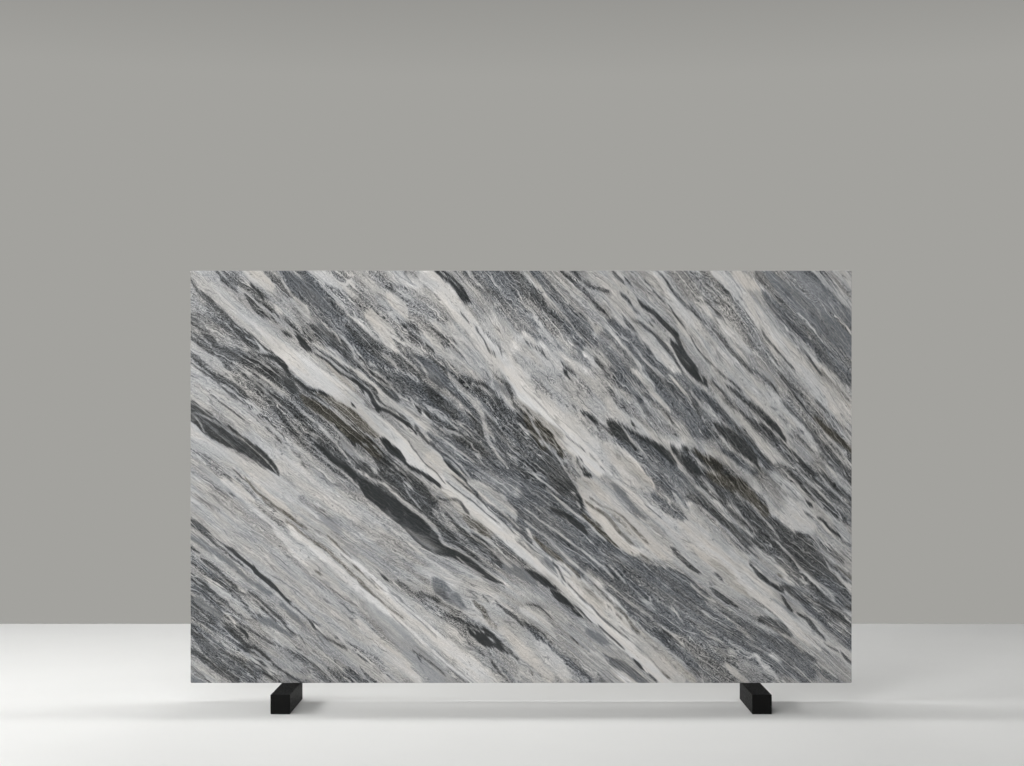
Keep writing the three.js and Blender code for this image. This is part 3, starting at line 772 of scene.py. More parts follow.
thread 134 118.5 .3, 140 121.5 .4, 145 127.3 .5, 147 130 .3
thread 120 112 .5, 124 116 .7, 128 120 .7, 132 124 .6, 136 128 .5, 141 131.5 .5
thread 141 131.5 .5, 146 135.5 .5, 150 139.3 .7, 154 142.3 .5
dark 150 118 .8, 155 122 1.1, 160 127 .8, 164 131 .5
ink 131 100 .5, 132.5 102 .3
thread 138 106 .4, 146 113 .5, 152 118 .5, 158 124 .4
light 154 146 .5, 155 146.7 .5
milk 96 124 .4, 104 130 .5, 112 137 .5, 118 141 .5, 126 147 .4
milk 78 139 .7, 84 144 .9, 90 149.5 .9
ink 91.5 145.8 .4, 93.5 147.5 .7, 95.5 149.3 .3
umber 78 141 .3, 84 147 .3, 90 153 .3
hair 123 101 .3, 128 105.5 .3, 134 110 .3, 141 115.5 .3, 148 121 .3
hair 125 98 .2, 131 103 .3, 137 108 .3, 143 114 .3, 150 120 .3, 156 127 .2
# right of the middle, third row
dark 173 99 .5, 180 108 1
ink 186 108 .6, 187.5 111 .9, 188.5 115 .6
light 186 111.3 .3, 187 113 .5
thread 171 105 .4, 175 108.5 .5, 180 113 .6, 185 117 .6, 190 121 .5, 195 125.3 .5
thread 195 125.3 .5, 200 130 .4
thread 176 108.7 .3, 183 115 .4, 189 120 .3
ink 173 114 .6, 177 116 1.3, 181 118 1.6, 185 121 1.6, 188 123.5 1.4, 190.5 126.5 .5
umber 190 111 .5, 193 113.5 .6, 194 114.5 .3
drab 192 109.5 .4, 198 113 .5, 203 115 .5, 207 118 .6, 210 121 .6, 214 125 .7
drab 214 125 .7, 218 129 .8, 220 131 .5
umber 195.5 114.7 .7, 199 117 1, 201.5 119.7 .8, 203.3 122.3 .8, 206 125.5 .8
umber 206 125.5 .8, 209 128 .9, 211 130 .9, 213 131.5 .5
drab 203 117 .5, 208 122 .5, 211 126 .4
umber 212 135.5 .5, 212.5 135.8 .4
umber 216 136.5 .5, 218 137.7 .6, 220 139 .5
mid 209 114 .4, 213 117 .8, 217 119.7 .8
milk 200 97 .7, 206 102 .8, 212 106.5 .7, 217 111 .5, 222 115 .4, 226 119 .3
hair 217 110.7 .25, 221 114.5 .3, 226 118.5 .25
dark 223 100 .4, 228 103.5 .6, 232 107 .6
light 232 107 .8, 236 113 1, 240 118 1, 244 122 .5
umber 232.7 124.3 .4, 233.5 124.7 .3
light 229 133 .4, 233 138 .5, 238 143 .5
thread 160 120 .5, 165 124 .7, 171 128 .6, 176 133 .6, 181 138 .6, 186 142 .7
thread 186 142 .7, 190 146 .8, 196 151 .7
thread 160 114 .4, 170 121 .5, 178 127 .5, 186 133 .5, 195 140 .6, 203 147 .6
olive 165 128.5 .6, 168 131.5 1, 171 134.3 1.4, 175 137 1.1, 178 139.3 .6
umber 180 141 .4, 184 144 .6, 187 147 .5
hair 174 140 .3, 177 144 .4, 179.5 149 .4
ink 161 143.2 .4, 165 146 1.3, 169 149 1.6, 173 151.5 1.2, 176 153 .6
ink 199 141 .3, 203 145.5 .4, 206 148.5 .3
thread 201 141.5 .4, 205 145.5 .5, 209 150 .4
# right, third row
light 245 99 .5, 249 103 1.2, 252 107 .8, 255 110.3 .3
light 258 112 .5, 262 115 1, 266 119 .5, 270 124 .5
thread 268 111 .5, 272 115 .5, 276 120 .5, 280 125 .4, 283 129 .3
thread 262 107 .8, 266 110 .7, 268 111.5 .4
thread 281 130 .5, 285 134 .5, 289 138 .5, 293 143 .5, 297 147 .6, 302 152 .6
wisp 274 111 .3, 277 117 .3
wisp 258 104 .4, 263 107 .5, 267 111 .4
ink 296 110.7 .4, 297.7 112 .8, 299 113 .4
hair 295.5 116 .4, 298.3 118.3 .5
hair 291 125.5 .5, 294 127 .6, 297 128 .5, 299 129.3 .4
ink 301.5 118.7 .4, 304 120.5 .6, 306 123 .7, 309 125.7 .8, 311 127 .8, 312.5 128.5 .4
thread 296 100 .5, 302 106 .5, 308 112 .5, 313 116 .4
thread 302 98 .4, 309 106 .4, 317 114 .4
umber 310 142 .6, 317.5 147.7 .7
dark 313 130 .4, 317.5 132 .6
milk 240 127 .7, 250 134.5 .9, 258 140.5 .9, 264 146 .9
milk 264 140 .3, 268 146 .4, 274 151 .5, 280 155 .4
dark 252 145.5 .4, 255 148.5 .5
light 291 141 .5, 295 145 .7, 299 148.5 .7, 304 152 .6, 309 157 .5
light 294 147 .3, 297 151 .4
umber 282.5 146 .6, 284 147 .5
# left, bottom row
dark 3 147 .8, 6 151 1.1, 10 154 .8, 14 157 .6, 18 159.5 .4
dark 0 152.5 .8, 5 155.5 .7, 10 158.3 .5
dark 0 148 .4, 6 153 .4, 12 159 .5, 17 163 .6, 21 166.5 .5, 24 169.3 .4
dark 24 169.3 .4, 28 172 .6, 31 174 .6, 34 176 .5, 38 178.5 .5, 43 180.3 .5
dark 12 148 .8, 16 151 .8, 19 152.7 .7, 22 154.3 .6, 26 155 .7, 29 156.3 .6
dark 28 154 .5, 32 157 .6, 36 160.5 .7, 40 164 .8, 43 167 .9, 45 170 .8
dark 45 170 .8, 48 173 .9, 50 175 .6
hair 30 158 .3, 35 162.3 .4, 39 166.3 .4, 43 169.5 .3
dark 34 161.7 .5, 35.5 163.6 .4
dark 20.5 153 .6, 22 154.5 .4
dark 23.5 158.6 .5, 26 160.2 .7, 27.5 162 .4, 30 164.5 .4, 34 166 .3
dark 29 166 .3, 32 168.2 .4
thread 0 160 .3, 5 164.5 .3, 9 168 .3
ink 22.5 170.7 .4, 25 172.5 .9, 27 175 .8, 28 177.3 .3
dark 20 175 .9, 24 178 .8, 28 181 .9, 31 184 .7, 34 188 .9, 36 192 .8
dark 36 192 .8, 38.5 195 .7, 44 198.5 .6
dark 37 186.5 .6, 41 190 .6, 45 193 .6, 50 196 .6, 55 198.5 .5
thread 29 184 .4, 33 186.3 .5, 37 188 .4
thread 52 182.7 .3, 58 187 .3, 64 192 .3, 71 198.5 .3
hair 51 183.5 .3, 57 187.3 .3, 63 192 .3, 70 198.5 .3
hair 16.5 165.7 .4, 20 168.5 .5
hair 15 169 .4, 19.5 170 .5
light 17 182 .5, 20 184 .5, 24 185.3 .4
thread 2 173.3 .3, 8 176.7 .3, 15 181 .3, 20 184.5 .3
hair 0 190 .3, 5 194.3 .35, 10 198.5 .3
ink 42 154 .4, 46 157.8 .6, 48 159 .5
hair 43 155.7 .3, 48 160.5 .3, 51 162.3 .35, 54 165.3 .45, 57 168 .5, 59 171 .6
hair 59 171 .6, 61 173.3 .4, 65 176.3 .5, 68 178 .6, 72 180 .6, 75 181.7 .4
hair 58 168.3 .4, 61.5 170.5 .3
fog 60 173 .6, 64 177 .8, 68 180 .6
dark 74 178 .3, 77 179.6 .4, 80.3 181.5 .4
wisp 48 170 .3, 52 174 .3, 55 179 .4
dark 69.3 187.3 .35, 69.7 187.7 .3
hair 76 190.3 .35, 79 192.3 .35
# middle, bottom row
umber 81 150 .5, 86 154.5 .7, 90 157.3 .7, 93 160.3 .5, 97 163.5 .5, 102 167 .6
wisp 95 155.3 .3, 101 160.5 .3, 107 165.7 .3, 114 172 .4, 118 176 .3
wisp 96 165 .3, 103 172 .3, 110 178 .3, 118 185 .3, 127 193 .3, 134 198.5 .3
wisp 119 184 .3, 124 188 .3, 131 194 .3
hair 81 185 .4, 84 187 .4, 88 190 .4, 91 193 .5, 92 194 .3
hair 94 194 .4, 96.5 196.3 .4
dark 82 191 .4, 86 195 .7, 89.5 197.7 .6
dark 106.5 182.5 .35, 108 183.5 .4
dark 109.5 184.5 .45, 112 186 .35
hair 112 186 .3, 116 188.7 .35, 120 191.7 .4, 122 194 .35
hair 109 185.3 .4, 110.5 187.3 .35
dark 108 155 .5, 112 155.2 .7, 116 157 .9, 119 159.2 .7
thread 113 156.5 .3, 118 160 .4, 124 163.5 .4
dark 122 165 .4, 126 166.7 .5, 130 168.2 .5, 133 169.7 .5, 136 170.7 .4
ink 133.3 169.7 .4, 138 171.5 .8, 142 173.3 1, 146 176.3 1.1, 149 179.5 .8
ink 134 172.5 1, 137 175 2, 141 177 3, 144 178.3 2.8, 147 179.3 1.8, 150 181.7 .9
ink 150 181.7 .9, 153 183.7 .6
milk 134.5 171.7 .3, 136.5 174 .4
milk 138.7 171.3 .3, 140 173 .3
milk 142.5 175.3 .3, 144.5 177 .5, 146 178.6 .4
milk 135.5 176.3 .4, 137.5 178 .4
thread 133 172.5 .3, 134.3 176 .4, 139 179.7 .4, 143 181.5 .4, 148 181.7 .3
dark 143 182.7 .5, 144.5 184.3 .5
dark 133.5 178.5 .4, 137 181.3 .5, 141 184.7 .4
thread 134 157 .4, 138 164 .5, 143 171 .5, 149 177 .5, 153 182 .4
hair 148.5 177.5 .5, 154 183 .5, 158 186.7 .4
hair 146.5 159 .4, 149 161 .5, 152 164 .8, 156 167 .9, 160 170.3 .8
hair 141 156 .3, 143 159 .35
hair 144.5 188 .45, 147 191 .6, 150 194.3 .6, 154 198.3 .6
thread 148 190 .3, 151 194 .4, 154 197.7 .3
# right of the middle, bottom row
ink 173 153 .5, 176 156 1.6, 179 158.3 1.8, 182 160.3 1, 184 161.7 .4
ink 184 161 .3, 188 164.3 .5, 190 167 .6, 192 168.7 .4
ink 183 163.2 .4, 186 165 .7, 188.3 166.5 .5
dark 180 161 .4, 184 163 .4
thread 172 152 .4, 178 154.7 .4, 182 159 .4, 187 164 .4, 192 169.3 .3
hair 181 150 .3, 187 156.5 .35, 193 161.7 .4, 197 166.5 .4, 203 171.5 .4, 210 177 .35
wisp 210 177 .3, 217 183 .3, 225 191 .3
umber 194 151 .3, 199 156.5 .4, 204 161 .6, 209 166 .6, 212 170 .8, 215 173.7 .8
umber 200.5 161.3 .4, 201.5 161.9 .4
umber 204.5 165 .4, 207.3 167.5 .4
milk 188 148 .4, 194 154.5 .4, 200 160.5 .4
light 214 168 .4, 220 175 .4, 227 180 .5, 231 184 .5, 236 188.3 .6, 241 193.5 .5
ink 226 172 .4, 231 176 .6, 236 180 .4
thread 201 150.5 .4, 208 156.5 .5, 215 162.3 .5, 222 166.7 .4
thread 210 150 .3, 216 156 .4, 223 163 .4
light 231 161 .35, 235 167 .4, 237 170 .3
hair 161 160.3 .35, 166 160.7 .4, 170 163.3 .4, 173 167 .4
hair 160 168.3 .4, 168 173.3 .5, 174 179.3 .4
umber 163.5 193 .6, 164.5 193.7 .5
ink 213 187 .5, 215 189.2 .7, 217 191.7 .4
dark 220 194 .6, 224 197.3 .6
hair 196 170.5 .45, 199 173 .45, 204 177.3 .4, 208 181.3 .35
hair 183 176 .4, 186 179 .35
umber 226 192 .4, 229 195 .6, 230.5 196 .4
# right, bottom row
thread 240 150 .5, 246 156 .7, 252 159.3 .5
thread 257 177 .4, 263 181 .6, 268 184.3 .5
thread 272 170 .4, 280 173.3 .4, 286 176 .4
light 240 170 .3, 250 175.7 .4, 258 179.5 .4
mid 243 155 .5, 252 163 .7, 262 170 .8, 270 178 .6
dim 258 182 1, 262 186 1.6, 266 186.3 1.4, 270 185.3 .8
light 259 182.3 .5, 262 184.3 .5
light 279 184.5 .9, 283 187.3 .6
dark 275 194 .8, 279 196.7 .8
dark 283 196 .5, 286 198.3 .4
dark 241 191 .8, 244.5 195 1
thread 290 190 .4, 297 196 .4
thread 301 188 .4, 310 195 .4
thread 297 147.5 .6, 302 152 .5, 307 157 .5, 313 162 .5, 318 166.5 .5
dark 284 156 .4, 286 160 .6, 289 163.3 .4
dark 292 165 .4, 296 167.3 .8, 299 170.7 .9, 302 174.3 .6, 305 178 .4
dark 304 178.5 .4, 307 181 .45, 311 183 .5
dark 313 184 .6, 315 186.7 .8, 318 189.5 .5
light 300 169 .4, 306 174.5 .6, 312 180 .5
"""

# Soft patches that make the stone beneath darker or lighter: the change in
# grey level first, then the stroke.
SHADES = """
-20 8 24 4, 28 36 4
-30 50 12 3, 58 32 3
-10 50 48 5, 90 72 5
-18 78 62 5, 95 88 5
-18 76 82 3, 95 90 3
-18 48 66 3, 56 78 3
-18 54 82 2.5, 72 96 2.5
-18 10 68 2, 18 74 2
-18 106 98 2, 114 104 2
-18 126 128 2, 134 132 2
-10 95 140 3, 110 144 3
-18 120 158 4, 140 175 4
-10 60 142 3, 76 152 3
-18 20 172 2, 32 180 2, 56 196 2
-18 205 85 2, 220 103 2
-10 185 98 3, 197 104 3
-10 170 104 3, 182 110 3
-28 240 84 3, 268 102 3
-28 274 98 4, 282 112 4
-28 242 114 1.5, 258 132 1.5
-20 290 80 4, 300 95 4
-10 262 60 3, 276 75 3
-18 285 45 1.5, 310 75 1.5
-18 162 68 2, 180 84 2
-18 282 155 2, 290 165 2
-18 276 146 2, 282 150 2
-18 300 130 1.5, 312 140 1.5
-10 258 162 2, 272 168 2
-10 302 165 2, 312 185 2
-10 108 2 2, 116 5 2
-10 200 10 2, 200 20 2
-10 118 48 2, 132 56 2
10 60 15 6, 75 40 6
28 75 24 3, 95 36 3
20 97 40 4, 112 50 4
18 14 40 2, 19 46 2
18 44 50 2, 54 60 2
20 138 5 6, 160 22 6
28 142 25 4, 152 38 4
20 155 20 4, 178 38 4
28 178 36 4, 190 46 4
10 183 8 3, 195 18 3
20 194 28 4, 206 36 4
10 206 28 4, 216 48 4
10 200 36 3, 214 50 3
18 232 48 2, 238 56 2
10 226 60 3, 242 78 3
10 255 30 3, 268 45 3
10 285 62 2, 296 78 2
10 300 80 1.5, 312 90 1.5
10 205 80 2, 222 98 2
20 230 98 4, 240 110 4
10 226 112 2, 234 118 2
28 140 99 4, 155 106 4
10 120 78 2, 130 90 2
18 142 115 2, 158 126 2
18 103 122 2.5, 120 136 2.5
10 168 115 4, 190 128 4
18 200 118 3, 216 132 3
10 20 112 3, 50 126 3
10 0 125 2, 16 135 2
10 80 145 8, 135 190 8
18 104 158 3, 122 172 3
10 125 175 3, 135 182 3
10 143 146 2, 150 150 2
10 140 155 4, 165 165 4
10 200 155 3, 215 170 3
10 225 160 4, 260 182 4
10 255 182 4, 280 190 4
18 282 138 3, 288 146 3
10 160 180 4, 190 195 4
10 200 188 3, 218 196 3
10 285 0 4, 310 20 4
10 104 8 4, 122 18 4
-26 30 43 2, 40 49 2.5
-22 110 50 1, 121 62 1.5
-22 160 139.5 .8, 172 150 1
-26 172 150.5 1.5, 186 164 2.5
12 184 155 1, 196 166 1
22 200 161 1, 213 178 1.5
-22 250 78 4, 262 90 4
-18 255 92 2, 266 99 2
-16 248 60 2, 258 72 2
-20 96 90 2, 104 98 2
-14 78 80 2, 88 92 2
-14 46 72 2.5, 58 88 2.5
-18 40 5 1.5, 46 12 1.5
-10 10 4 4, 28 20 4
-7 35 22 4, 50 35 4
-16 88 36 2, 97 38 2
-16 286 155 1.5, 292 163 1.5
-14 275 98 2, 283 108 2
-18 171 78 1, 174 88 1
-10 135 120 2, 145 140 2
-12 128 165 2, 138 175 2
26 147 24 3, 156 32 3
24 160 27 2, 172 33 2
26 104 124 1, 118 134 1.2
18 95 117 .8, 98 120 .8
18 202 81 1.5, 220 98 1.5
18 178 42 1.5, 190 46 1.5
20 213 32 1.2, 218 38 1.2
20 221 0 1.5, 225 12 1.5
18 236 48 1, 238 54 1
9 106 9 5, 118 22 5
14 118 80 2, 132 92 2
18 150 82 2, 155 88 2
16 133 92 1.2, 140 98 1.2
14 52 105 1.5, 60 113 1.5
9 8 93 3, 22 110 3
12 160 60 .8, 182 80 .8
12 280 60 1.2, 300 80 1.2
22 235 84 1.2, 236 87 1.2
14 242 92 1.2, 254 98 1.2
14 218 113 2, 232 120 2
10 145 113 1.5, 158 125 1.5
8 165 125 5, 180 140 5
8 85 150 7, 118 195 7
14 275 180 2, 285 190 2
12 240 175 1.2, 248 180 1.2
8 275 0 6, 300 20 6
8 240 15 3, 262 38 3
14 182 18 2, 190 26 2
22 78 55 .8, 84 60 .8
18 66 88 1, 72 94 1
16 78 92 1.2, 84 98 1.2
9 68 130 2, 82 142 2
9 200 125 2, 215 135 2
8 225 150 3, 250 170 3
10 205 148 1.2, 215 160 1.2
-16 24 47 2, 32 51 2
-24 28 180 3, 36 190 3
-8 32 14 5, 42 36 5
-14 44 80 2, 60 92 2
-18 105 97 1.5, 112 104 1.5
-14 94 33 2, 98 36 2
-16 158 73 2, 168 84 2
-12 138 124 3, 150 138 3
-18 297 107 2, 304 115 2
-16 302 130 1.5, 306 135 1.5
-14 170 146 1.5, 184 166 1.5
-10 170 104 3, 190 103 3
22 184 33 2, 188 41 2
20 196 31 2, 203 38 2, 209 45 2
18 117 46 2, 123 50 2
10 150 2 5, 170 16 5
20 145 100 2, 156 102 2
14 150 150 2, 168 158 2
12 234 76 2, 238 84 2
10 274 8 4, 284 16 4
12 290 0 3, 300 8 3
10 45 132 4, 72 140 4
20 204 193 2, 214 200 2
12 268 176 2, 280 184 2
12 260 126 2, 270 130 2
10 222 98 2, 232 116 2
12 178 138 2, 184 142 2
12 198 134 2, 206 140 2
10 158 126 2, 165 134 2
8 235 152 3, 246 160 3
-26 107 98 1.2, 114 103 1.2
-20 28 184 2, 38 192 2
-18 26 50 1, 29 51 1
-16 34 43 1, 42 46 1
-12 30 62 1.5, 37 73 1.5
-14 180 5 1.5, 186 14 1.5
-12 250 3 1.5, 262 14 1.5
-12 158 15 1, 168 26 1
-12 161 77 1, 173 86 1
-12 145 36 1, 148 40 1
-10 265 60 2, 276 72 2
-12 279 95 1.5, 284 100 1.5
-12 248 108 1.5, 256 117 1.5
-10 118 157 1.5, 130 163 1.5, 142 171 1.5
-14 287 158 1.2, 294 166 1.2
-10 232 142 1.5, 246 149 1.5
-7 2 5 4, 14 16 4
-8 4 52 3, 18 56 3
-10 300 131 2, 308 136 2
14 17 43 1, 20 46 1
14 44 50 1, 50 50 1
12 10 99 2, 19 108 2
14 32 110 1.5, 40 117 1.5
12 28 8 2, 34 13 2
12 60 113 1.5, 66 117 1.5
12 92 116 1.5, 97 119 1.5
20 104 126 1, 116 134 1
14 78 95 1.5, 84 97 1.5
12 129 50 1.5, 135 54 1.5
14 151 70 1.5, 155 80 1.5
12 145 115 1.5, 151 120 1.5
16 184 34 1.5, 188 38 1.5
14 236 52 1.2, 240 56 1.2
16 230 68 1.5, 237 71 1.5
12 233 104 1.5, 237 112 1.5
16 285 141 1.5, 290 146 1.5
12 296 151 1.5, 300 156 1.5
16 122 166 1.5, 130 172 1.5
14 53 190 1.5, 60 196 1.5
10 76 161 2, 80 165 2
20 207 195 1.5, 214 199 1.5
12 215 149 1.5, 226 159 1.5
10 285 186 2, 302 192 2
8 180 137 3, 200 141 3
8 150 154 3, 160 158 3
12 200 170 1.5, 211 178 1.5
10 160 56 1.5, 173 70 1.5
8 86 4 3, 97 15 3
8 132 6 3, 146 17 3
8 246 30 3, 262 43 3
6 40 125 4, 62 140 4
6 84 180 4, 110 195 4
10 150 192 2, 166 198 2
-9 60 62 2.5, 74 72 3, 88 82 3
10 60 108 1, 84 128 1.2, 104 145 1.2
9 30 98 1.2, 52 116 1.2
-8 20 5 3, 40 14 3
-8 20 24 3, 40 36 3
-12 40 56 1.5, 46 60 1.5
-10 80 85 1.5, 84 87 1.5
-10 94 79 1.5, 100 80 1.5
-12 310 84 2, 318 90 2
-12 310 163 1.5, 318 168 1.5
-10 270 118 2, 280 130 2
-10 172 148 1.2, 186 164 1.2
10 150 148 2, 164 158 2
10 124 152 2, 145 156 2
12 199 26 2, 218 38 2
12 207 196 1.5, 214 199 1.5
8 240 182 4, 254 194 4
8 220 150 3, 240 164 3
8 180 138 2, 198 138 2
8 152 22 2, 164 28 2
8 140 5 4, 170 8 4
16 16 43 1, 19 46 1
12 42 50 1, 49 52 1
-14 180 5 1, 190 20 1.2
-14 248 2 1, 262 14 1.2
-14 44 82 1.5, 52 86 1.5
-12 64 88 1, 78 101 1.2
14 66 86 1.5, 73 93 1.5
14 80 92 1, 86 96 1
-16 106 97 1.2, 117 107 1.2
-12 98 90 1, 104 96 1
-10 119 100 1.2, 128 118 1.2
-10 120 130 1, 132 134 1
14 102 124 1, 116 134 1
10 86 122 1.5, 98 128 1.5
12 24 100 1, 38 115 1.2
-10 140 104 1, 154 112 1
12 142 112 1, 152 120 1
12 144 101 1, 156 104 1
12 120 86 1, 126 96 1
-10 118 78 1, 130 88 1
12 146 56 1, 155 62 1.5
-12 158 72 1, 162 78 1
14 200 78 1, 214 92 1, 226 104 1
-10 206 84 1, 216 98 1
12 232 104 1, 238 112 1
-12 240 110 1, 252 128 1.2
-10 256 128 1.2, 272 148 1.2
-12 275 96 2, 282 106 2
-10 290 80 2, 302 88 2
-14 308 84 1.2, 318 94 1.2
-12 246 64 1, 254 72 1
-12 210 72 1, 218 79 1
12 224 18 1, 240 44 1.2
12 252 38 1.5, 266 46 1.5
-12 277 38 1, 292 56 1.2
12 284 62 1, 292 68 1.2
12 284 141 1, 290 146 1
-12 276 148 1, 286 160 1
12 288 150 1, 302 164 1
-14 312 162 1, 318 168 1
-12 172 148 1, 186 164 1
12 182 150 1, 200 168 1
-10 222 140 1.5, 240 148 1.5
10 216 150 1.5, 240 166 1.5
12 104 148 1.5, 116 152 1.5
12 84 160 1.2, 100 176 1.5
-10 92 156 1, 112 172 1
10 262 166 1.5, 276 178 1.5
-10 24 180 1.5, 34 188 1.5
12 52 188 1, 60 194 1
18 208 195 1.2, 214 199 1.2
12 270 182 1.2, 278 190 1.2
-14 110 49 1, 122 59 1.2
-10 128 50 1.2, 138 56 1.2
"""


def smoothstep(low, high, value):
    t = np.clip((value - low) / (high - low), 0, 1)
    return t * t * (3 - 2 * t)


def noise(u, v, seed):
    """Smooth random values from -1 to 1 that change over one unit."""
    size = 64
    table = np.random.default_rng(seed).uniform(-1, 1, (size, size))
    iu, iv = np.floor(u).astype(int), np.floor(v).astype(int)
    fu, fv = smoothstep(0, 1, u - iu), smoothstep(0, 1, v - iv)
    near = table[iu % size, iv % size] * (1 - fu) + table[(iu + 1) % size, iv % size] * fu
    far = table[iu % size, (iv + 1) % size] * (1 - fu) + table[(iu + 1) % size, (iv + 1) % size] * fu
    return near * (1 - fv) + far * fv


def rough_noise(u, v, seed, octaves=3):
    """Noise with finer noise added, each octave half as strong as the one before."""
    total = sum(noise(u * 2**k, v * 2**k, seed + k) / 2**k for k in range(octaves))
    return total / 1.5


SPAN_STEPS = 4  # smooth points for each point of a line


def smooth_line(points):
    """A line's points joined by a smooth curve, as many more points."""
    p = np.array(points, float)
    if len(p) == 2:
        return p
    padded = np.vstack([2 * p[0] - p[1], p, 2 * p[-1] - p[-2]])
    t = np.arange(SPAN_STEPS)[:, None] / SPAN_STEPS
    spans = []
    for a, b, c, d in zip(padded, padded[1:], padded[2:], padded[3:]):
        cubic = 2 * b + (c - a) * t + (2 * a - 5 * b + 4 * c - d) * t**2
        spans.append((cubic + (3 * b - a - 3 * c + d) * t**3) / 2)
    return np.vstack([*spans, p[-1:]])


def inside_by(line, x, y):
    """How far each place lies inside a stroke, in centimetres; outside it is negative."""
    best = np.full(len(x), -1e9)
    for (ax, ay, a_width), (bx, by, b_width) in zip(line, line[1:]):
        dx, dy = bx - ax, by - ay
        t = np.clip(((x - ax) * dx + (y - ay) * dy) / (dx * dx + dy * dy + 1e-9), 0, 1)
        away = np.hypot(x - ax - t * dx, y - ay - t * dy)
        best = np.maximum(best, a_width + (b_width - a_width) * t - away)
    return best


def flow_heights(x):
    """The levels of the flow lines, lowest first, and how far down each one is at x."""
    lines = []
    for line in FLOW:
        px, py = smooth_line(line).T
        height = np.interp(x, px, py)
        height += FLOW_SLOPE * (np.minimum(x - px[0], 0) + np.maximum(x - px[-1], 0))
        lines.append((np.mean(py - FLOW_SLOPE * px) * FLOW_COSINE, height))
    lines.sort(key=lambda pair: pair[0])
    levels = np.array([level for level, _ in lines])
    heights = np.array([height for _, height in lines])
    for k in range(1, len(levels)):
        heights[k] = np.maximum(heights[k], heights[k - 1] + LINE_SPACING)
    return levels, heights


def flow_coordinates(x, y):
    """(along, across) the veins, in centimetres, for places on the slab."""
    levels, heights = flow_heights(x)
    across = levels[0] + (y - heights[0]) * FLOW_COSINE
    for k in range(len(levels) - 1):
        share = (y - heights[k]) / (heights[k + 1] - heights[k])
        between = levels[k] + (levels[k + 1] - levels[k]) * share
        across = np.where(share > 0, between, across)
    below = levels[-1] + (y - heights[-1]) * FLOW_COSINE
    return (x + FLOW_SLOPE * y) * FLOW_COSINE, np.where(y > heights[-1], below, across)


def strokes(table):
    """What each line of a table starts with, and the stroke's points after it."""
    for line in table.splitlines():
        if line and not line.startswith("#"):
            first, _, rest = line.partition(" ")
            yield first, [[float(n) for n in point.split()] for point in rest.split(",")]


def covered(points, edge, rag, x, y, fray):
    """Which places a stroke reaches, and how much of each one it covers."""
    line = smooth_line(points)
    reach = line[:, 2].max() + edge + 2 * rag + 1
    near = (x > line[:, 0].min() - reach) & (x < line[:, 0].max() + reach)
    near &= (y > line[:, 1].min() - reach) & (y < line[:, 1].max() + reach)
    where = np.flatnonzero(near)
    depth = inside_by(line, x[where], y[where]) + rag * fray[where]
    return where, smoothstep(-edge / 2, edge / 2, depth)


# The tables in the order they are laid, each with how much softer, more frayed
# and more opaque its strokes are than their kinds of stone say.
LAYERS = ((GROUND, 4, 3, 1), (BANDS, 1, 2.4, 1), (LINES, 1, 1, 0.92))
BARE_STONE = (150, 0.4, 0.8, 0.2)  # grey level, warmth, streaks and crackle under all strokes
SHADE_EDGE = 4.0  # centimetres over which a soft patch fades
SHADE_RAG = 1.5
PAINTED_LIGHT_SLOPE = 7  # painted light: grey levels painted onto the stone, rising from its left end to its right, to make up for the key lamp lighting the left end more
GREY_RANGE = (45, 225)  # no stone is painted darker or lighter
SHAKE = (-0.3, 0.35)  # centimetres by which the strokes waver, across and down


def lay_stone(x, y, raggedness):
    """(along, across) the veins and the stone at places on the slab.

    The stone is its grey level, warmth, streaks and crackle, all 0 to 1."""
    along, across = flow_coordinates(x, y)
    canvas = np.tile(np.array(BARE_STONE), (len(x), 1))
    fray = rough_noise(along / 9, across / 1.5, seed=11)
    fray += 0.6 * rough_noise(along / 3, across / 1.1, seed=17, octaves=1)
    fray *= raggedness
    shake = rough_noise(along / 8, across / 5, seed=23)
    bent_x, bent_y = x + SHAKE[0] * shake, y + SHAKE[1] * shake
    for table, softness, frayed, opacity in LAYERS:
        for kind, points in strokes(table):
            *look, edge, rag, strength = STONE[kind]
            where, cover = covered(points, edge * softness, rag * frayed, bent_x, bent_y, fray)
            canvas[where] += (np.array(look) - canvas[where]) * (cover * strength * opacity)[:, None]
    for change, points in strokes(SHADES):
        where, cover = covered(points, SHADE_EDGE, SHADE_RAG, x, y, fray)
        canvas[where, 0] += float(change) * cover
    # painted light: the right end is painted lighter, where the key lamp lights the slab less
    canvas[:, 0] += PAINTED_LIGHT_SLOPE * (x * CM / SLAB_WIDTH - 0.5)
    canvas[:, 0] = np.clip(canvas[:, 0], *GREY_RANGE) / 255
    return along, across, canvas


# ----------------------------------------------------------- the slab's mesh

FRONT_CELL = (1.05, 0.55)  # across the slab and across the veins, in centimetres
BACK_CELL = (3.2, 1.15)
BACK_RAGGEDNESS = 0.35  # how much of its wander a border keeps on the coarser back
VEIN_DRIFT = 0.3  # how far the veins move for each step through the slab
CORNER_STEPS = 4  # straight pieces in each round corner
ROWS_BEYOND = 90  # centimetres of rows past the outermost flow lines
SPARE_EDGE = 3  # how many centimetres cells reach past the slab before they are cut off


def outline_planes(half_width, half_height, radius):
    """(point, outward direction) of lines that bound a rectangle with round corners."""
    planes = []
    for quarter in range(4):
        turn = quarter * math.pi / 2
        sx = 1 if quarter in (0, 3) else -1
        sz = 1 if quarter in (0, 1) else -1
        centre = Vector((sx * (half_width - radius), sz * (half_height - radius)))
        for step in range(CORNER_STEPS + 1):
            angle = turn + step * math.pi / 2 / CORNER_STEPS
            out = Vector((math.cos(angle), math.sin(angle)))
            planes.append((centre + out * radius, out))
    return planes


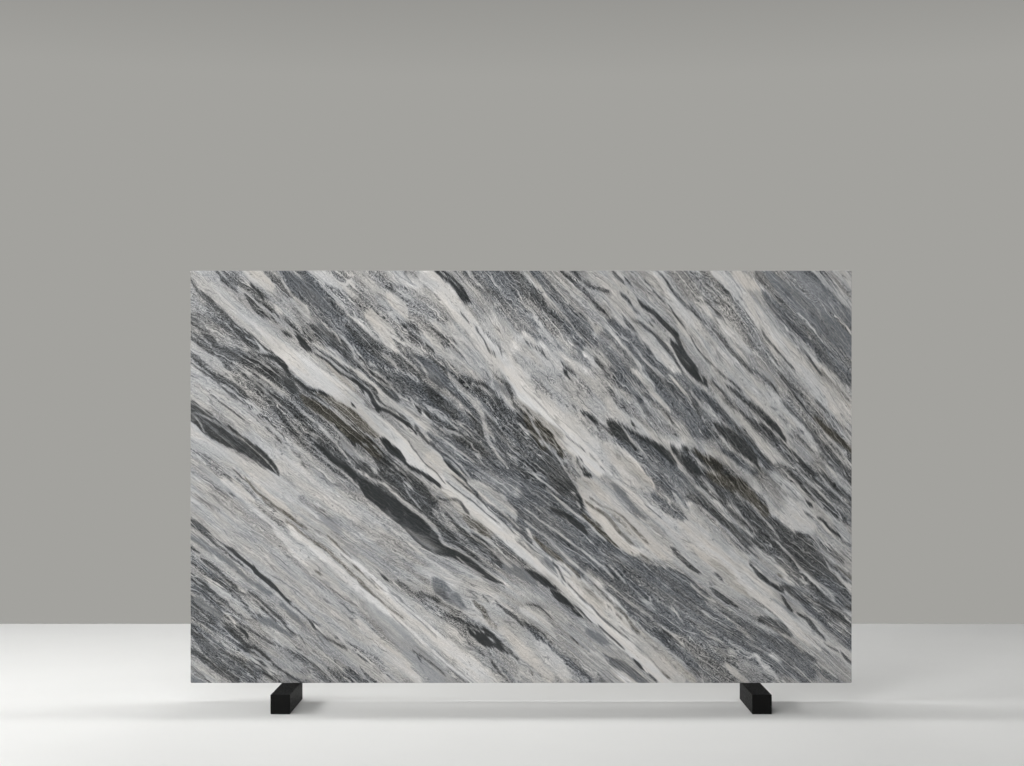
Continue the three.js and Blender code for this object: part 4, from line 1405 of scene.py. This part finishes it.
def flow_grid(cell):
    """A flat mesh whose rows of cells follow the veins, a little larger than the slab."""
    width, height = SLAB_WIDTH / CM, SLAB_HEIGHT / CM
    columns = np.arange(-cell[0], width + 2 * cell[0], cell[0])
    levels, heights = flow_heights(columns)
    rows = np.arange(levels[0] - ROWS_BEYOND, levels[-1] + ROWS_BEYOND, cell[1])
    x, y = np.meshgrid(columns, rows, indexing="ij")
    for k in range(len(columns)):
        y[k] = np.interp(rows, levels, heights[:, k])
        y[k] += (np.minimum(rows - levels[0], 0) + np.maximum(rows - levels[-1], 0)) / FLOW_COSINE
    keep = (y > -SPARE_EDGE) & (y < height + SPARE_EDGE)
    index = np.arange(x.size).reshape(x.shape)
    corners = np.stack([index[:-1, :-1], index[1:, :-1], index[1:, 1:], index[:-1, 1:]], -1)
    faces = corners[keep[:-1, :-1] | keep[1:, 1:] | keep[1:, :-1] | keep[:-1, 1:]]
    used, faces = np.unique(faces, return_inverse=True)
    places = np.stack([x.ravel() - width / 2, height / 2 - y.ravel(), 0 * x.ravel()], 1)
    mesh = bpy.data.meshes.new("grid")
    mesh.from_pydata((places[used] * CM).tolist(), [], faces.reshape(-1, 4).tolist())
    return mesh


def face_grid(cell):
    """A face of the slab as a flat mesh: (x, z) of its corners, its faces, its rim."""
    mesh = flow_grid(cell)
    grid = bmesh.new()
    grid.from_mesh(mesh)
    half_width, half_height = SLAB_WIDTH / 2 - ARRIS, SLAB_HEIGHT / 2 - ARRIS
    for point, out in outline_planes(half_width, half_height, CORNER_RADIUS - ARRIS / 2):
        bmesh.ops.bisect_plane(
            grid,
            geom=grid.verts[:] + grid.edges[:] + grid.faces[:],
            dist=1e-5,
            plane_co=(*point, 0),
            plane_no=(*out, 0),
            clear_outer=True,
        )
    grid.verts.index_update()
    places = np.array([v.co[:2] for v in grid.verts])
    polygons = [[v.index for v in f.verts] for f in grid.faces]
    rim = [v.index for v in grid.verts if v.is_boundary]
    rim.sort(key=lambda i: math.atan2(places[i, 1], places[i, 0]))
    grid.free()
    bpy.data.meshes.remove(mesh)
    return places, polygons, rim


def closed_mesh(name, corners, polygons):
    """A mesh of these corners and polygons, with every face turned outwards."""
    mesh = bpy.data.meshes.new(name)
    mesh.from_pydata(corners, [], polygons)
    whole = bmesh.new()
    whole.from_mesh(mesh)
    bmesh.ops.recalc_face_normals(whole, faces=whole.faces)
    whole.to_mesh(mesh)
    whole.free()
    mesh.update()
    return mesh


def zipper(first, first_turn, second, second_turn):
    """Triangles that join two rings whose corners lie at these turns round the slab."""
    triangles = []
    i = j = 0
    while i < len(first) or j < len(second):
        a, b = first[i % len(first)], second[j % len(second)]
        next_first = first_turn[i] if i < len(first) else math.inf
        next_second = second_turn[j] if j < len(second) else math.inf
        if next_first <= next_second:
            triangles.append((first[i - 1], a, second[j - 1]))
            i += 1
        else:
            triangles.append((first[i - 1], b, second[j - 1]))
            j += 1
    return triangles


def slab_piece():
    """The slab as one closed mesh: polished face, arrises, sawn edges and sawn back."""
    middle_x = (SLAB_LOW.x + SLAB_HIGH.x) / 2
    middle_z = (SLAB_LOW.z + SLAB_HIGH.z) / 2
    corners, polygons = [], []

    def add_ring(places, y):
        start = len(corners)
        corners.extend((middle_x + px, y, middle_z + pz) for px, pz in places)
        return list(range(start, start + len(places)))

    def outer(places):
        grown = places.copy()
        for axis, half in ((0, SLAB_WIDTH / 2), (1, SLAB_HEIGHT / 2)):
            grown[:, axis] *= half / (half - ARRIS)
        return grown

    rings = []
    for cell, y, arris_y, flip in (
        (FRONT_CELL, SLAB_LOW.y, SLAB_LOW.y + ARRIS, False),
        (BACK_CELL, SLAB_HIGH.y, SLAB_HIGH.y - ARRIS, True),
    ):
        places, faces, rim = face_grid(cell)
        base = add_ring(places, y)[0]
        polygons += [[base + i for i in (reversed(f) if flip else f)] for f in faces]
        rim_places = places[rim]
        ring = add_ring(outer(rim_places), arris_y)
        turns = [math.atan2(z, x) for x, z in rim_places]
        for k in range(len(rim)):
            polygons.append((base + rim[k - 1], base + rim[k], ring[k], ring[k - 1]))
        rings += [ring, turns]
    polygons += zipper(*rings)
    return closed_mesh("slab_stone", corners, polygons)


def paint_slab(mesh):
    """Writes what the stone is at each corner of the mesh, for the material to read."""
    places = np.empty(len(mesh.vertices) * 3)
    mesh.vertices.foreach_get("co", places)
    places = places.reshape(-1, 3)
    depth = (places[:, 1] - SLAB_LOW.y) / CM
    x = (places[:, 0] - SLAB_LOW.x) / CM + depth * VEIN_DRIFT
    y = (SLAB_HIGH.z - places[:, 2]) / CM - depth * VEIN_DRIFT
    raggedness = np.where(depth > SLAB_DEPTH / CM / 2, BACK_RAGGEDNESS, 1.0)
    along, across, canvas = lay_stone(x, y, raggedness)
    stone = mesh.attributes.new("stone", "FLOAT_COLOR", "POINT")
    stone.data.foreach_set("color", canvas.astype(np.float32).ravel())
    flow = mesh.attributes.new("flow", "FLOAT_VECTOR", "POINT")
    vectors = np.stack([along, across, depth], 1)
    flow.data.foreach_set("vector", vectors.astype(np.float32).ravel())


# ---------------------------------------------------------- the blocks' mesh

BLOCK_ROUNDING = 0.0025  # the radius of the blocks' edges
ARC_POINTS = 5  # round each edge of a block's section
SIDE_POINTS = 6  # between two edges
RING_SPACING = 0.005  # along a block
CHIP_START = 0.45  # an edge is whole where the noise is below this
CHIP_DEPTH = 0.002  # metres lost for each unit of noise above it


def block_section(half_width, half_height):
    """(x, z) round a block, with rounded corners and a few points along each side."""
    arcs = []
    for quarter, (sx, sz) in enumerate(((1, 1), (-1, 1), (-1, -1), (1, -1))):
        for step in range(ARC_POINTS):
            angle = (quarter + step / (ARC_POINTS - 1)) * math.pi / 2
            x = sx * (half_width - BLOCK_ROUNDING) + BLOCK_ROUNDING * math.cos(angle)
            z = sz * (half_height - BLOCK_ROUNDING) + BLOCK_ROUNDING * math.sin(angle)
            arcs.append((x, z))
    points = []
    for k, here in enumerate(arcs):
        points.append(here)
        if (k + 1) % ARC_POINTS == 0:
            ahead = arcs[(k + 1) % len(arcs)]
            for step in range(1, SIDE_POINTS + 1):
                points.append([a + (b - a) * step / (SIDE_POINTS + 1) for a, b in zip(here, ahead)])
    return np.array(points)


def block_rings(low_y, high_y):
    """(y, inset) of the rings along a block, whose ends are rounded."""
    angles = np.linspace(0, math.pi / 2, ARC_POINTS)
    ends = [(BLOCK_ROUNDING * (1 - math.cos(a)), BLOCK_ROUNDING * (1 - math.sin(a))) for a in angles]
    between = np.arange(low_y + 0.008, high_y - 0.007, RING_SPACING)
    near = [(low_y + step, inset) for step, inset in ends]
    far = [(high_y - step, inset) for step, inset in reversed(ends)]
    return near + [(y, 0) for y in between] + far


def block_piece(name, seed):
    """A solid bearer block with rounded, slightly chipped edges."""
    low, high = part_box(name)
    half = (high - low) / 2
    middle = (high + low) / 2
    section = block_section(half.x, half.z)
    count = len(section)
    on_arc = np.arange(count) % (ARC_POINTS + SIDE_POINTS) < ARC_POINTS
    corners = []
    rings = block_rings(low.y, high.y)
    for y, inset in rings:
        wear = noise(y * 60 + section[:, 0] * 9, section[:, 1] * 9 + 5, seed)
        loss = np.where(on_arc, np.maximum(wear - CHIP_START, 0) * CHIP_DEPTH, 0) + inset
        x = section[:, 0] * (1 - loss / half.x)
        z = section[:, 1] * (1 - loss / half.z)
        corners += [(middle.x + a, y, middle.z + b) for a, b in zip(x, z)]
    polygons = [list(range(count)), list(range(count * (len(rings) - 1), count * len(rings)))]
    for base in range(0, count * (len(rings) - 1), count):
        for k in range(count):
            after = (k + 1) % count
            polygons.append((base + k, base + after, base + count + after, base + count + k))
    return closed_mesh(name, corners, polygons)


# ---------------------------------------------------------------- materials


def srgb(r, g, b):
    """A colour given as 0 to 255 display values, as linear light."""
    return tuple(((c / 255 + 0.055) / 1.055) ** 2.4 for c in (r, g, b)) + (1.0,)


class Nodes:
    """Builds a material's node tree with few words."""

    def __init__(self, name):
        self.material = bpy.data.materials.new(name)
        self.material.use_nodes = True
        self.tree = self.material.node_tree
        self.tree.nodes.clear()

    def add(self, kind, settings=None, **inputs):
        node = self.tree.nodes.new("ShaderNode" + kind)
        for key, value in (settings or {}).items():
            setattr(node, key, value)
        for key, value in inputs.items():
            self.feed(node.inputs[key.replace("_", " ")], value)
        return node

    def feed(self, socket, value):
        if isinstance(value, bpy.types.NodeSocket):
            self.tree.links.new(value, socket)
        else:
            socket.default_value = value

    def math(self, operation, a, b=0.0, c=0.0, clamp=False):
        node = self.add("Math", {"operation": operation, "use_clamp": clamp})
        for socket, value in zip(node.inputs, (a, b, c)):
            self.feed(socket, value)
        return node.outputs[0]

    def scale_and_add(self, vector, factors, added):
        node = self.add("VectorMath", {"operation": "MULTIPLY_ADD"})
        for socket, value in zip(node.inputs, (vector, factors, added)):
            self.feed(socket, value)
        return node.outputs[0]

    def stretch(self, vector, scale, offset=(0, 0, 0)):
        return self.add("Mapping", Vector=vector, Scale=scale, Location=offset).outputs[0]

    def noise(self, vector, scale=1.0, detail=2.0, roughness=0.5):
        node = self.add("TexNoise", Vector=vector, Scale=scale, Detail=detail, Roughness=roughness)
        return node.outputs[0]

    def bend(self, vector, scale, amount, base, detail=1.0):
        """base moved about by noise that varies over vector at this scale."""
        push = self.add("TexNoise", Vector=self.stretch(vector, scale), Scale=1.0, Detail=detail)
        return self.scale_and_add(push.outputs["Color"], amount, base)

    def band(self, value, low, high, out_low=0.0, out_high=1.0):
        """value from low to high mapped to the out range, smoothly and clamped."""
        node = self.add("MapRange", {"interpolation_type": "SMOOTHSTEP"})
        for key, number in (("Value", value), ("From Min", low), ("From Max", high)):
            self.feed(node.inputs[key], number)
        node.inputs["To Min"].default_value = out_low
        node.inputs["To Max"].default_value = out_high
        return node.outputs[0]

    def ramp(self, value, stops):
        node = self.add("ValToRGB", Fac=value)
        elements = node.color_ramp.elements
        while len(elements) < len(stops):
            elements.new(0.5)
        for element, (place, colour) in zip(elements, stops):
            element.position = place
            element.color = colour
        return node.outputs[0]

    def mix(self, share, a, b):
        node = self.add("Mix", {"data_type": "RGBA"})
        self.feed(node.inputs["Factor"], share)
        self.feed(node.inputs[6], a)
        self.feed(node.inputs[7], b)
        return node.outputs[2]

    def finish(self, shader):
        output = self.add("OutputMaterial")
        self.tree.links.new(shader.outputs[0], output.inputs["Surface"])
        return self.material


# Grey level and the colour it has, as the polished stone shows it.
COOL_STONE = (
    (0, (18, 20, 22)), (58, (53, 57, 60)), (80, (77, 80, 84)), (100, (98, 101, 104)),
    (125, (122, 125, 128)), (150, (148, 150, 151)), (175, (173, 174, 174)),
    (200, (199, 199, 197)), (215, (214, 213, 210)), (255, (246, 245, 242)),
)
WARM_STONE = (
    (0, (22, 21, 18)), (58, (59, 58, 53)), (80, (83, 81, 74)), (100, (103, 100, 93)),
    (125, (128, 125, 119)), (150, (153, 150, 144)), (175, (179, 175, 168)),
    (200, (205, 200, 192)), (215, (219, 214, 206)), (255, (250, 246, 240)),
)
GLOSS_VEIL = 0.013  # the light that the polish adds, whatever the stone beneath it
LIGHT_LEVEL = (1.0, 0.995, 0.965)  # how bright a white face would be where the slab stands
DARKEST = 0.002  # no stone reflects less than this

# The noise patterns below are stretched along the veins. Their scales are turns
# per centimetre along, across and through the slab, and each has an offset of its
# own, so that no two fall together.

# Darker and lighter layers: scale, offset, strength and how soft their borders are.
BROAD_LAYERS = (
    ((0.018, 0.16, 0.1), (0, 0, 0), 0.008, 0.12),
    ((0.02, 0.42, 0.2), (4, 1, 0), 0.014, 0.12),
    ((0.03, 0.95, 0.2), (2, 7, 0), 0.016, 0.16),
)
FINE_LAYERS = ((0.05, 2.6, 0.3), (6, 2, 0), 0.075, 0.13)
GRAIN = ((1.5, 2.6, 0.5), (1, 5, 0), 0.22, 0.2)

# Thin lines: scale, offset and how wide they are, as a share of the noise's range.
LONG_LIGHT_LINES = ((0.02, 0.28, 0.2), (3, 9, 1), 0.028)
SHORT_LIGHT_LINES = ((0.04, 0.9, 0.2), (5, 2, 6), 0.04)
DARK_LINES = ((0.024, 0.3, 0.2), (11, 5, 2), 0.022)


def stone_ramp(nodes, tone, table):
    """The stone's own colour, without what the polish and the lighting add."""
    stops = []
    for place, colour in table:
        seen = zip(srgb(*colour)[:3], LIGHT_LEVEL)
        own = [max((c - GLOSS_VEIL) / level, DARKEST) for c, level in seen]
        stops.append((place / 255, (*own, 1.0)))
    return nodes.ramp(tone, stops)


def layered(n, flow, scale, offset, strength, softness):
    """Alternating darker and lighter layers, from -strength to strength."""
    field = n.noise(n.stretch(flow, scale, offset), detail=2, roughness=0.6)
    return n.band(field, 0.5 - softness, 0.5 + softness, -strength, strength)


def thin_lines(n, flow, scale, offset, width):
    """1 on a net of thin lines that run along the veins, 0 between them."""
    field = n.noise(n.stretch(flow, scale, offset), detail=1, roughness=0.4)
    away = n.math("ABSOLUTE", n.math("SUBTRACT", field, 0.5))
    return n.band(away, 0.0, width, 1.0, 0.0)


def streaked(n, flow, tone, streaks):
    """The tone with layers along the veins, from a palm's width down to hair lines."""
    wave = 0.0
    for layer in BROAD_LAYERS:
        wave = n.math("ADD", wave, layered(n, flow, *layer))
    patch = n.noise(n.stretch(flow, (0.05, 0.25, 0.1), (8, 8, 0)), detail=1)
    fine = n.math("MULTIPLY", layered(n, flow, *FINE_LAYERS), n.band(patch, 0.35, 0.62, 0.3, 1.3))
    grain = n.math("MULTIPLY", layered(n, flow, *GRAIN), n.band(tone, 0.5, 0.68, 1.0, 0.5))
    wave = n.math("ADD", wave, n.math("ADD", fine, grain))
    return n.math("MULTIPLY_ADD", wave, streaks, tone)


def threaded(n, flow, tone, streaks):
    """The tone with thin light and dark lines that part and meet along the veins.

    The light ones show most on dark stone and the dark ones on light stone."""
    where = n.noise(n.stretch(flow, (0.04, 0.15, 0.1), (7, 3, 0)), detail=2)
    long = n.math("MULTIPLY", thin_lines(n, flow, *LONG_LIGHT_LINES), n.band(where, 0.4, 0.56, 0.15, 0.75))
    short = n.math("MULTIPLY", thin_lines(n, flow, *SHORT_LIGHT_LINES), n.band(where, 0.42, 0.56, 0.55, 0.15))
    dark = n.math("MULTIPLY", thin_lines(n, flow, *DARK_LINES), n.band(where, 0.4, 0.56, 0.6, 0.05))
    raise_by = n.math("MULTIPLY", n.math("SUBTRACT", 0.84, tone, clamp=True), 1.2)
    lower_by = n.math("MULTIPLY", n.math("SUBTRACT", tone, 0.2, clamp=True), 0.95)
    light = n.math("SUBTRACT", n.math("MAXIMUM", short, long), 0.08)
    change = n.math("MULTIPLY", light, raise_by)
    change = n.math("SUBTRACT", change, n.math("MULTIPLY", n.math("SUBTRACT", dark, 0.03), lower_by))
    return n.math("MULTIPLY_ADD", change, streaks, tone)


def peppered(n, flow, tone, streaks):
    """The tone with small dashes along the veins: dark ones on light stone, light on dark."""
    dashes = n.noise(n.stretch(flow, (0.4, 1.6, 0.5), (4, 6, 8)), detail=2, roughness=0.6)
    patch = n.noise(n.stretch(flow, (0.05, 0.11, 0.1), (9, 1, 5)), detail=1)
    share = n.math("MULTIPLY", n.band(dashes, 0.6, 0.66), n.band(patch, 0.42, 0.62, 0.1, 1.0))
    contrast = n.math("MINIMUM", n.math("MULTIPLY", n.math("SUBTRACT", 0.46, tone), 1.2), 0.04)
    change = n.math("MULTIPLY", n.math("SUBTRACT", share, 0.06), contrast)
    return n.math("MULTIPLY_ADD", change, streaks, tone)


def crackled(n, flow, tone, crackle):
    """The tone with a fine net of white micro-veins where the stone is crackled."""
    bent = n.bend(flow, (1.5, 2.5, 1.5), (4.0, 2.2, 0.0), flow, detail=2.0)
    cells = n.add(
        "TexVoronoi",
        {"feature": "DISTANCE_TO_EDGE"},
        Vector=n.stretch(bent, (0.34, 0.7, 0.3)),
        Scale=1.0,
    )
    net = n.band(cells.outputs["Distance"], 0.0, 0.12, 1.0, 0.0)
    patch = n.noise(n.stretch(flow, (0.08, 0.3, 0.1), (5, 5, 5)), detail=2)
    net = n.math("MULTIPLY", net, n.band(patch, 0.38, 0.58))
    spots = n.noise(n.stretch(flow, (0.55, 1.3, 0.5), (2, 8, 4)), detail=3, roughness=0.65)
    spots = n.band(spots, 0.58, 0.68)
    change = n.math("MULTIPLY_ADD", net, 0.34, n.math("MULTIPLY", spots, 0.2))
    change = n.math("SUBTRACT", change, 0.06)
    change = n.math("MULTIPLY", change, n.band(tone, 0.4, 0.7, 1.0, 0.35))
    return n.math("MULTIPLY_ADD", change, crackle, tone)


def specked(n, flow, tone):
    """The tone with a few small dark specks."""
    cells = n.add("TexVoronoi", Vector=n.stretch(flow, (0.16, 0.24, 0.3)), Scale=1.0)
    speck = n.band(cells.outputs["Distance"], 0.03, 0.09, 1.0, 0.0)
    rare = n.math("GREATER_THAN", n.add("SeparateColor", Color=cells.outputs["Color"]).outputs[0], 0.8)
    return n.math("MULTIPLY_ADD", n.math("MULTIPLY", speck, rare), -0.16, tone)


def polished_colour(n, flow, stone):
    """The stone's colour from what is painted on the mesh and the noise patterns."""
    parts = n.add("SeparateColor", Color=stone.outputs["Color"])
    tone, warmth, streaks = parts.outputs[0], parts.outputs[1], parts.outputs[2]
    bent = n.bend(flow, (0.2, 0.55, 0.25), (6.0, 2.0, 0.0), flow)
    bent = n.bend(flow, (0.75, 2.0, 1.0), (1.5, 0.25, 0.0), bent)
    tone = streaked(n, bent, tone, streaks)
    tone = threaded(n, bent, tone, streaks)
    tone = peppered(n, bent, tone, streaks)
    tone = crackled(n, bent, tone, stone.outputs["Alpha"])
    tone = specked(n, bent, tone)
    tint = n.noise(n.stretch(bent, (0.04, 0.2, 0.1), (1, 2, 3)), detail=2)
    shift = n.math("MULTIPLY", n.band(tint, 0.35, 0.65, -0.55, 0.55), n.math("SUBTRACT", tone, 0.15))
    warmth = n.math("ADD", warmth, shift, clamp=True)
    return n.mix(warmth, stone_ramp(n, tone, COOL_STONE), stone_ramp(n, tone, WARM_STONE))


def marble_material():
    """Polished in front. Behind that face the stone is sawn: paler, matt and faintly scored."""
    n = Nodes("polished_marble")
    stone = n.add("Attribute", {"attribute_name": "stone"})
    flow = n.add("Attribute", {"attribute_name": "flow"}).outputs["Vector"]
    sawn = n.band(n.add("SeparateXYZ", Vector=flow).outputs["Z"], 0.06, 0.16)
    place = n.add("TexCoord").outputs["Object"]
    score = n.noise(n.stretch(place, (3.0, 60.0, 260.0)), detail=3, roughness=0.7)
    dust = n.mix(score, srgb(150, 149, 145), srgb(176, 174, 169))
    colour = n.mix(n.math("MULTIPLY", sawn, 0.36), polished_colour(n, flow, stone), dust)
    bump = n.add("Bump", Strength=n.math("MULTIPLY", sawn, 0.25), Distance=0.0006, Height=score)
    shader = n.add(
        "BsdfPrincipled",
        Base_Color=colour,
        Roughness=n.band(sawn, 0.0, 1.0, 0.16, 0.62),
        Normal=bump.outputs["Normal"],
    )
    return n.finish(shader)


def block_material():
    """Black bearer blocks: dense, slightly grainy, scuffed grey in places."""
    n = Nodes("block_black")
    place = n.add("TexCoord").outputs["Object"]
    grain = n.noise(n.stretch(place, (160.0, 90.0, 160.0)), detail=3, roughness=0.6)
    scuff = n.noise(n.stretch(place, (22.0, 9.0, 22.0), (1, 2, 3)), detail=4, roughness=0.65)
    shade = n.mix(grain, srgb(4, 4, 4), srgb(14, 14, 13))
    shade = n.mix(n.band(scuff, 0.56, 0.78, 0.0, 0.3), shade, srgb(38, 38, 36))
    bump = n.add("Bump", Strength=0.3, Distance=0.0005, Height=grain)
    shader = n.add(
        "BsdfPrincipled",
        Base_Color=shade,
        Roughness=n.band(grain, 0.3, 0.7, 0.5, 0.68),
        Specular_IOR_Level=0.12,
        Normal=bump.outputs["Normal"],
    )
    return n.finish(shader)


# ------------------------------------------------------------------- pieces


def place_piece(mesh, name, node, material):
    piece = bpy.data.objects.new(name, mesh)
    bpy.context.scene.collection.objects.link(piece)
    mesh.materials.append(material)
    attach(piece, "root")
    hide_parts(node)


slab_mesh = slab_piece()
paint_slab(slab_mesh)
place_piece(slab_mesh, "slab_stone", "marble_slab", marble_material())
block_black = block_material()
for side, seed in (("left", 5), ("right", 8)):
    node_name = "support_block_" + side
    place_piece(block_piece(node_name, seed), "block_" + side, node_name, block_black)

# -------------------------------------------------------- studio and camera

FLOOR_REACH = 14  # how far the floor goes to the front and to either side
FLOOR_BACK = 3.28  # how far it goes to the back
FLOOR_GREYS = (srgb(226, 226, 224), srgb(232, 232, 230))
WALL_GREY = srgb(163, 162, 158)
CEILING_GREY = srgb(50, 50, 51)
WALL_TOP = 0.22  # the walls darken from this height, where 1 is straight up
CEILING_START = 0.5

CAMERA_PLACE = (0, -7.496, 1.281)
CAMERA_LENS = 55.85  # millimetres
CAMERA_SENSOR = 36
CAMERA_SHIFT = (-0.0089, 0.0508)

# Each lamp: where it is, where it points, its width and height, and its power.
LAMPS = {
    "key_softbox": ((-8, -14, 4), (0, 0.1, 1), (5, 4), 1045),
    "left_softbox": ((-6.0, -0.6, 3.7), (0, 0, 0), (1.6, 1.6), 175),
    "back_strip": ((-0.3, 1.05, 6.0), (-0.3, 0, 0), (8, 0.3), 175),
    "back_fill": ((0, 10, 5), (0, 0.2, 0.8), (5, 3), 260),
    "top_softbox": ((-1.0, -3.5, 6.0), (0, 0, 0), (3, 3), 90),
}


def make_floor():
    """A pale floor that ends in a straight edge well behind the slab."""
    left_to_right = (-FLOOR_REACH, FLOOR_REACH)
    corners = [(x, -FLOOR_REACH, 0) for x in left_to_right]
    corners += [(x, FLOOR_BACK, 0) for x in reversed(left_to_right)]
    mesh = bpy.data.meshes.new("studio_floor")
    mesh.from_pydata(corners, [], [(0, 1, 2, 3)])
    floor = bpy.data.objects.new("studio_floor", mesh)
    bpy.context.scene.collection.objects.link(floor)
    n = Nodes("studio_floor")
    cloud = n.noise(n.add("TexCoord").outputs["Object"], scale=1.3, detail=4, roughness=0.6)
    mesh.materials.append(n.finish(n.add("BsdfDiffuse", Color=n.mix(cloud, *FLOOR_GREYS))))


def make_world():
    """Even grey walls all round, darker overhead."""
    world = bpy.data.worlds.new("studio")
    bpy.context.scene.world = world
    world.use_nodes = True
    nodes, links = world.node_tree.nodes, world.node_tree.links
    way = nodes.new("ShaderNodeTexCoord").outputs["Generated"]
    height = nodes.new("ShaderNodeSeparateXYZ")
    links.new(way, height.inputs[0])
    ramp = nodes.new("ShaderNodeValToRGB")
    links.new(height.outputs["Z"], ramp.inputs["Fac"])
    stops = ((WALL_TOP, WALL_GREY), (CEILING_START, CEILING_GREY))
    for element, (place, colour) in zip(ramp.color_ramp.elements, stops):
        element.position = place
        element.color = colour
    links.new(ramp.outputs[0], nodes["Background"].inputs["Color"])


def make_camera():
    data = bpy.data.cameras.new("camera")
    data.lens = CAMERA_LENS
    data.sensor_width = CAMERA_SENSOR
    data.shift_x, data.shift_y = CAMERA_SHIFT
    camera = bpy.data.objects.new("camera", data)
    camera.location = CAMERA_PLACE
    camera.rotation_euler = (math.pi / 2, 0, 0)
    bpy.context.scene.collection.objects.link(camera)
    bpy.context.scene.camera = camera


def make_lamp(name, place, target, size, power):
    data = bpy.data.lights.new(name, "AREA")
    data.shape = "RECTANGLE"
    data.size, data.size_y = size
    data.energy = power
    lamp = bpy.data.objects.new(name, data)
    lamp.location = place
    lamp.rotation_euler = (Vector(target) - Vector(place)).to_track_quat("-Z", "Y").to_euler()
    lamp.visible_camera = False
    bpy.context.scene.collection.objects.link(lamp)


bpy.context.scene.view_settings.view_transform = "Standard"
make_floor()
make_world()
make_camera()
for name, lamp in LAMPS.items():
    make_lamp(name, *lamp)
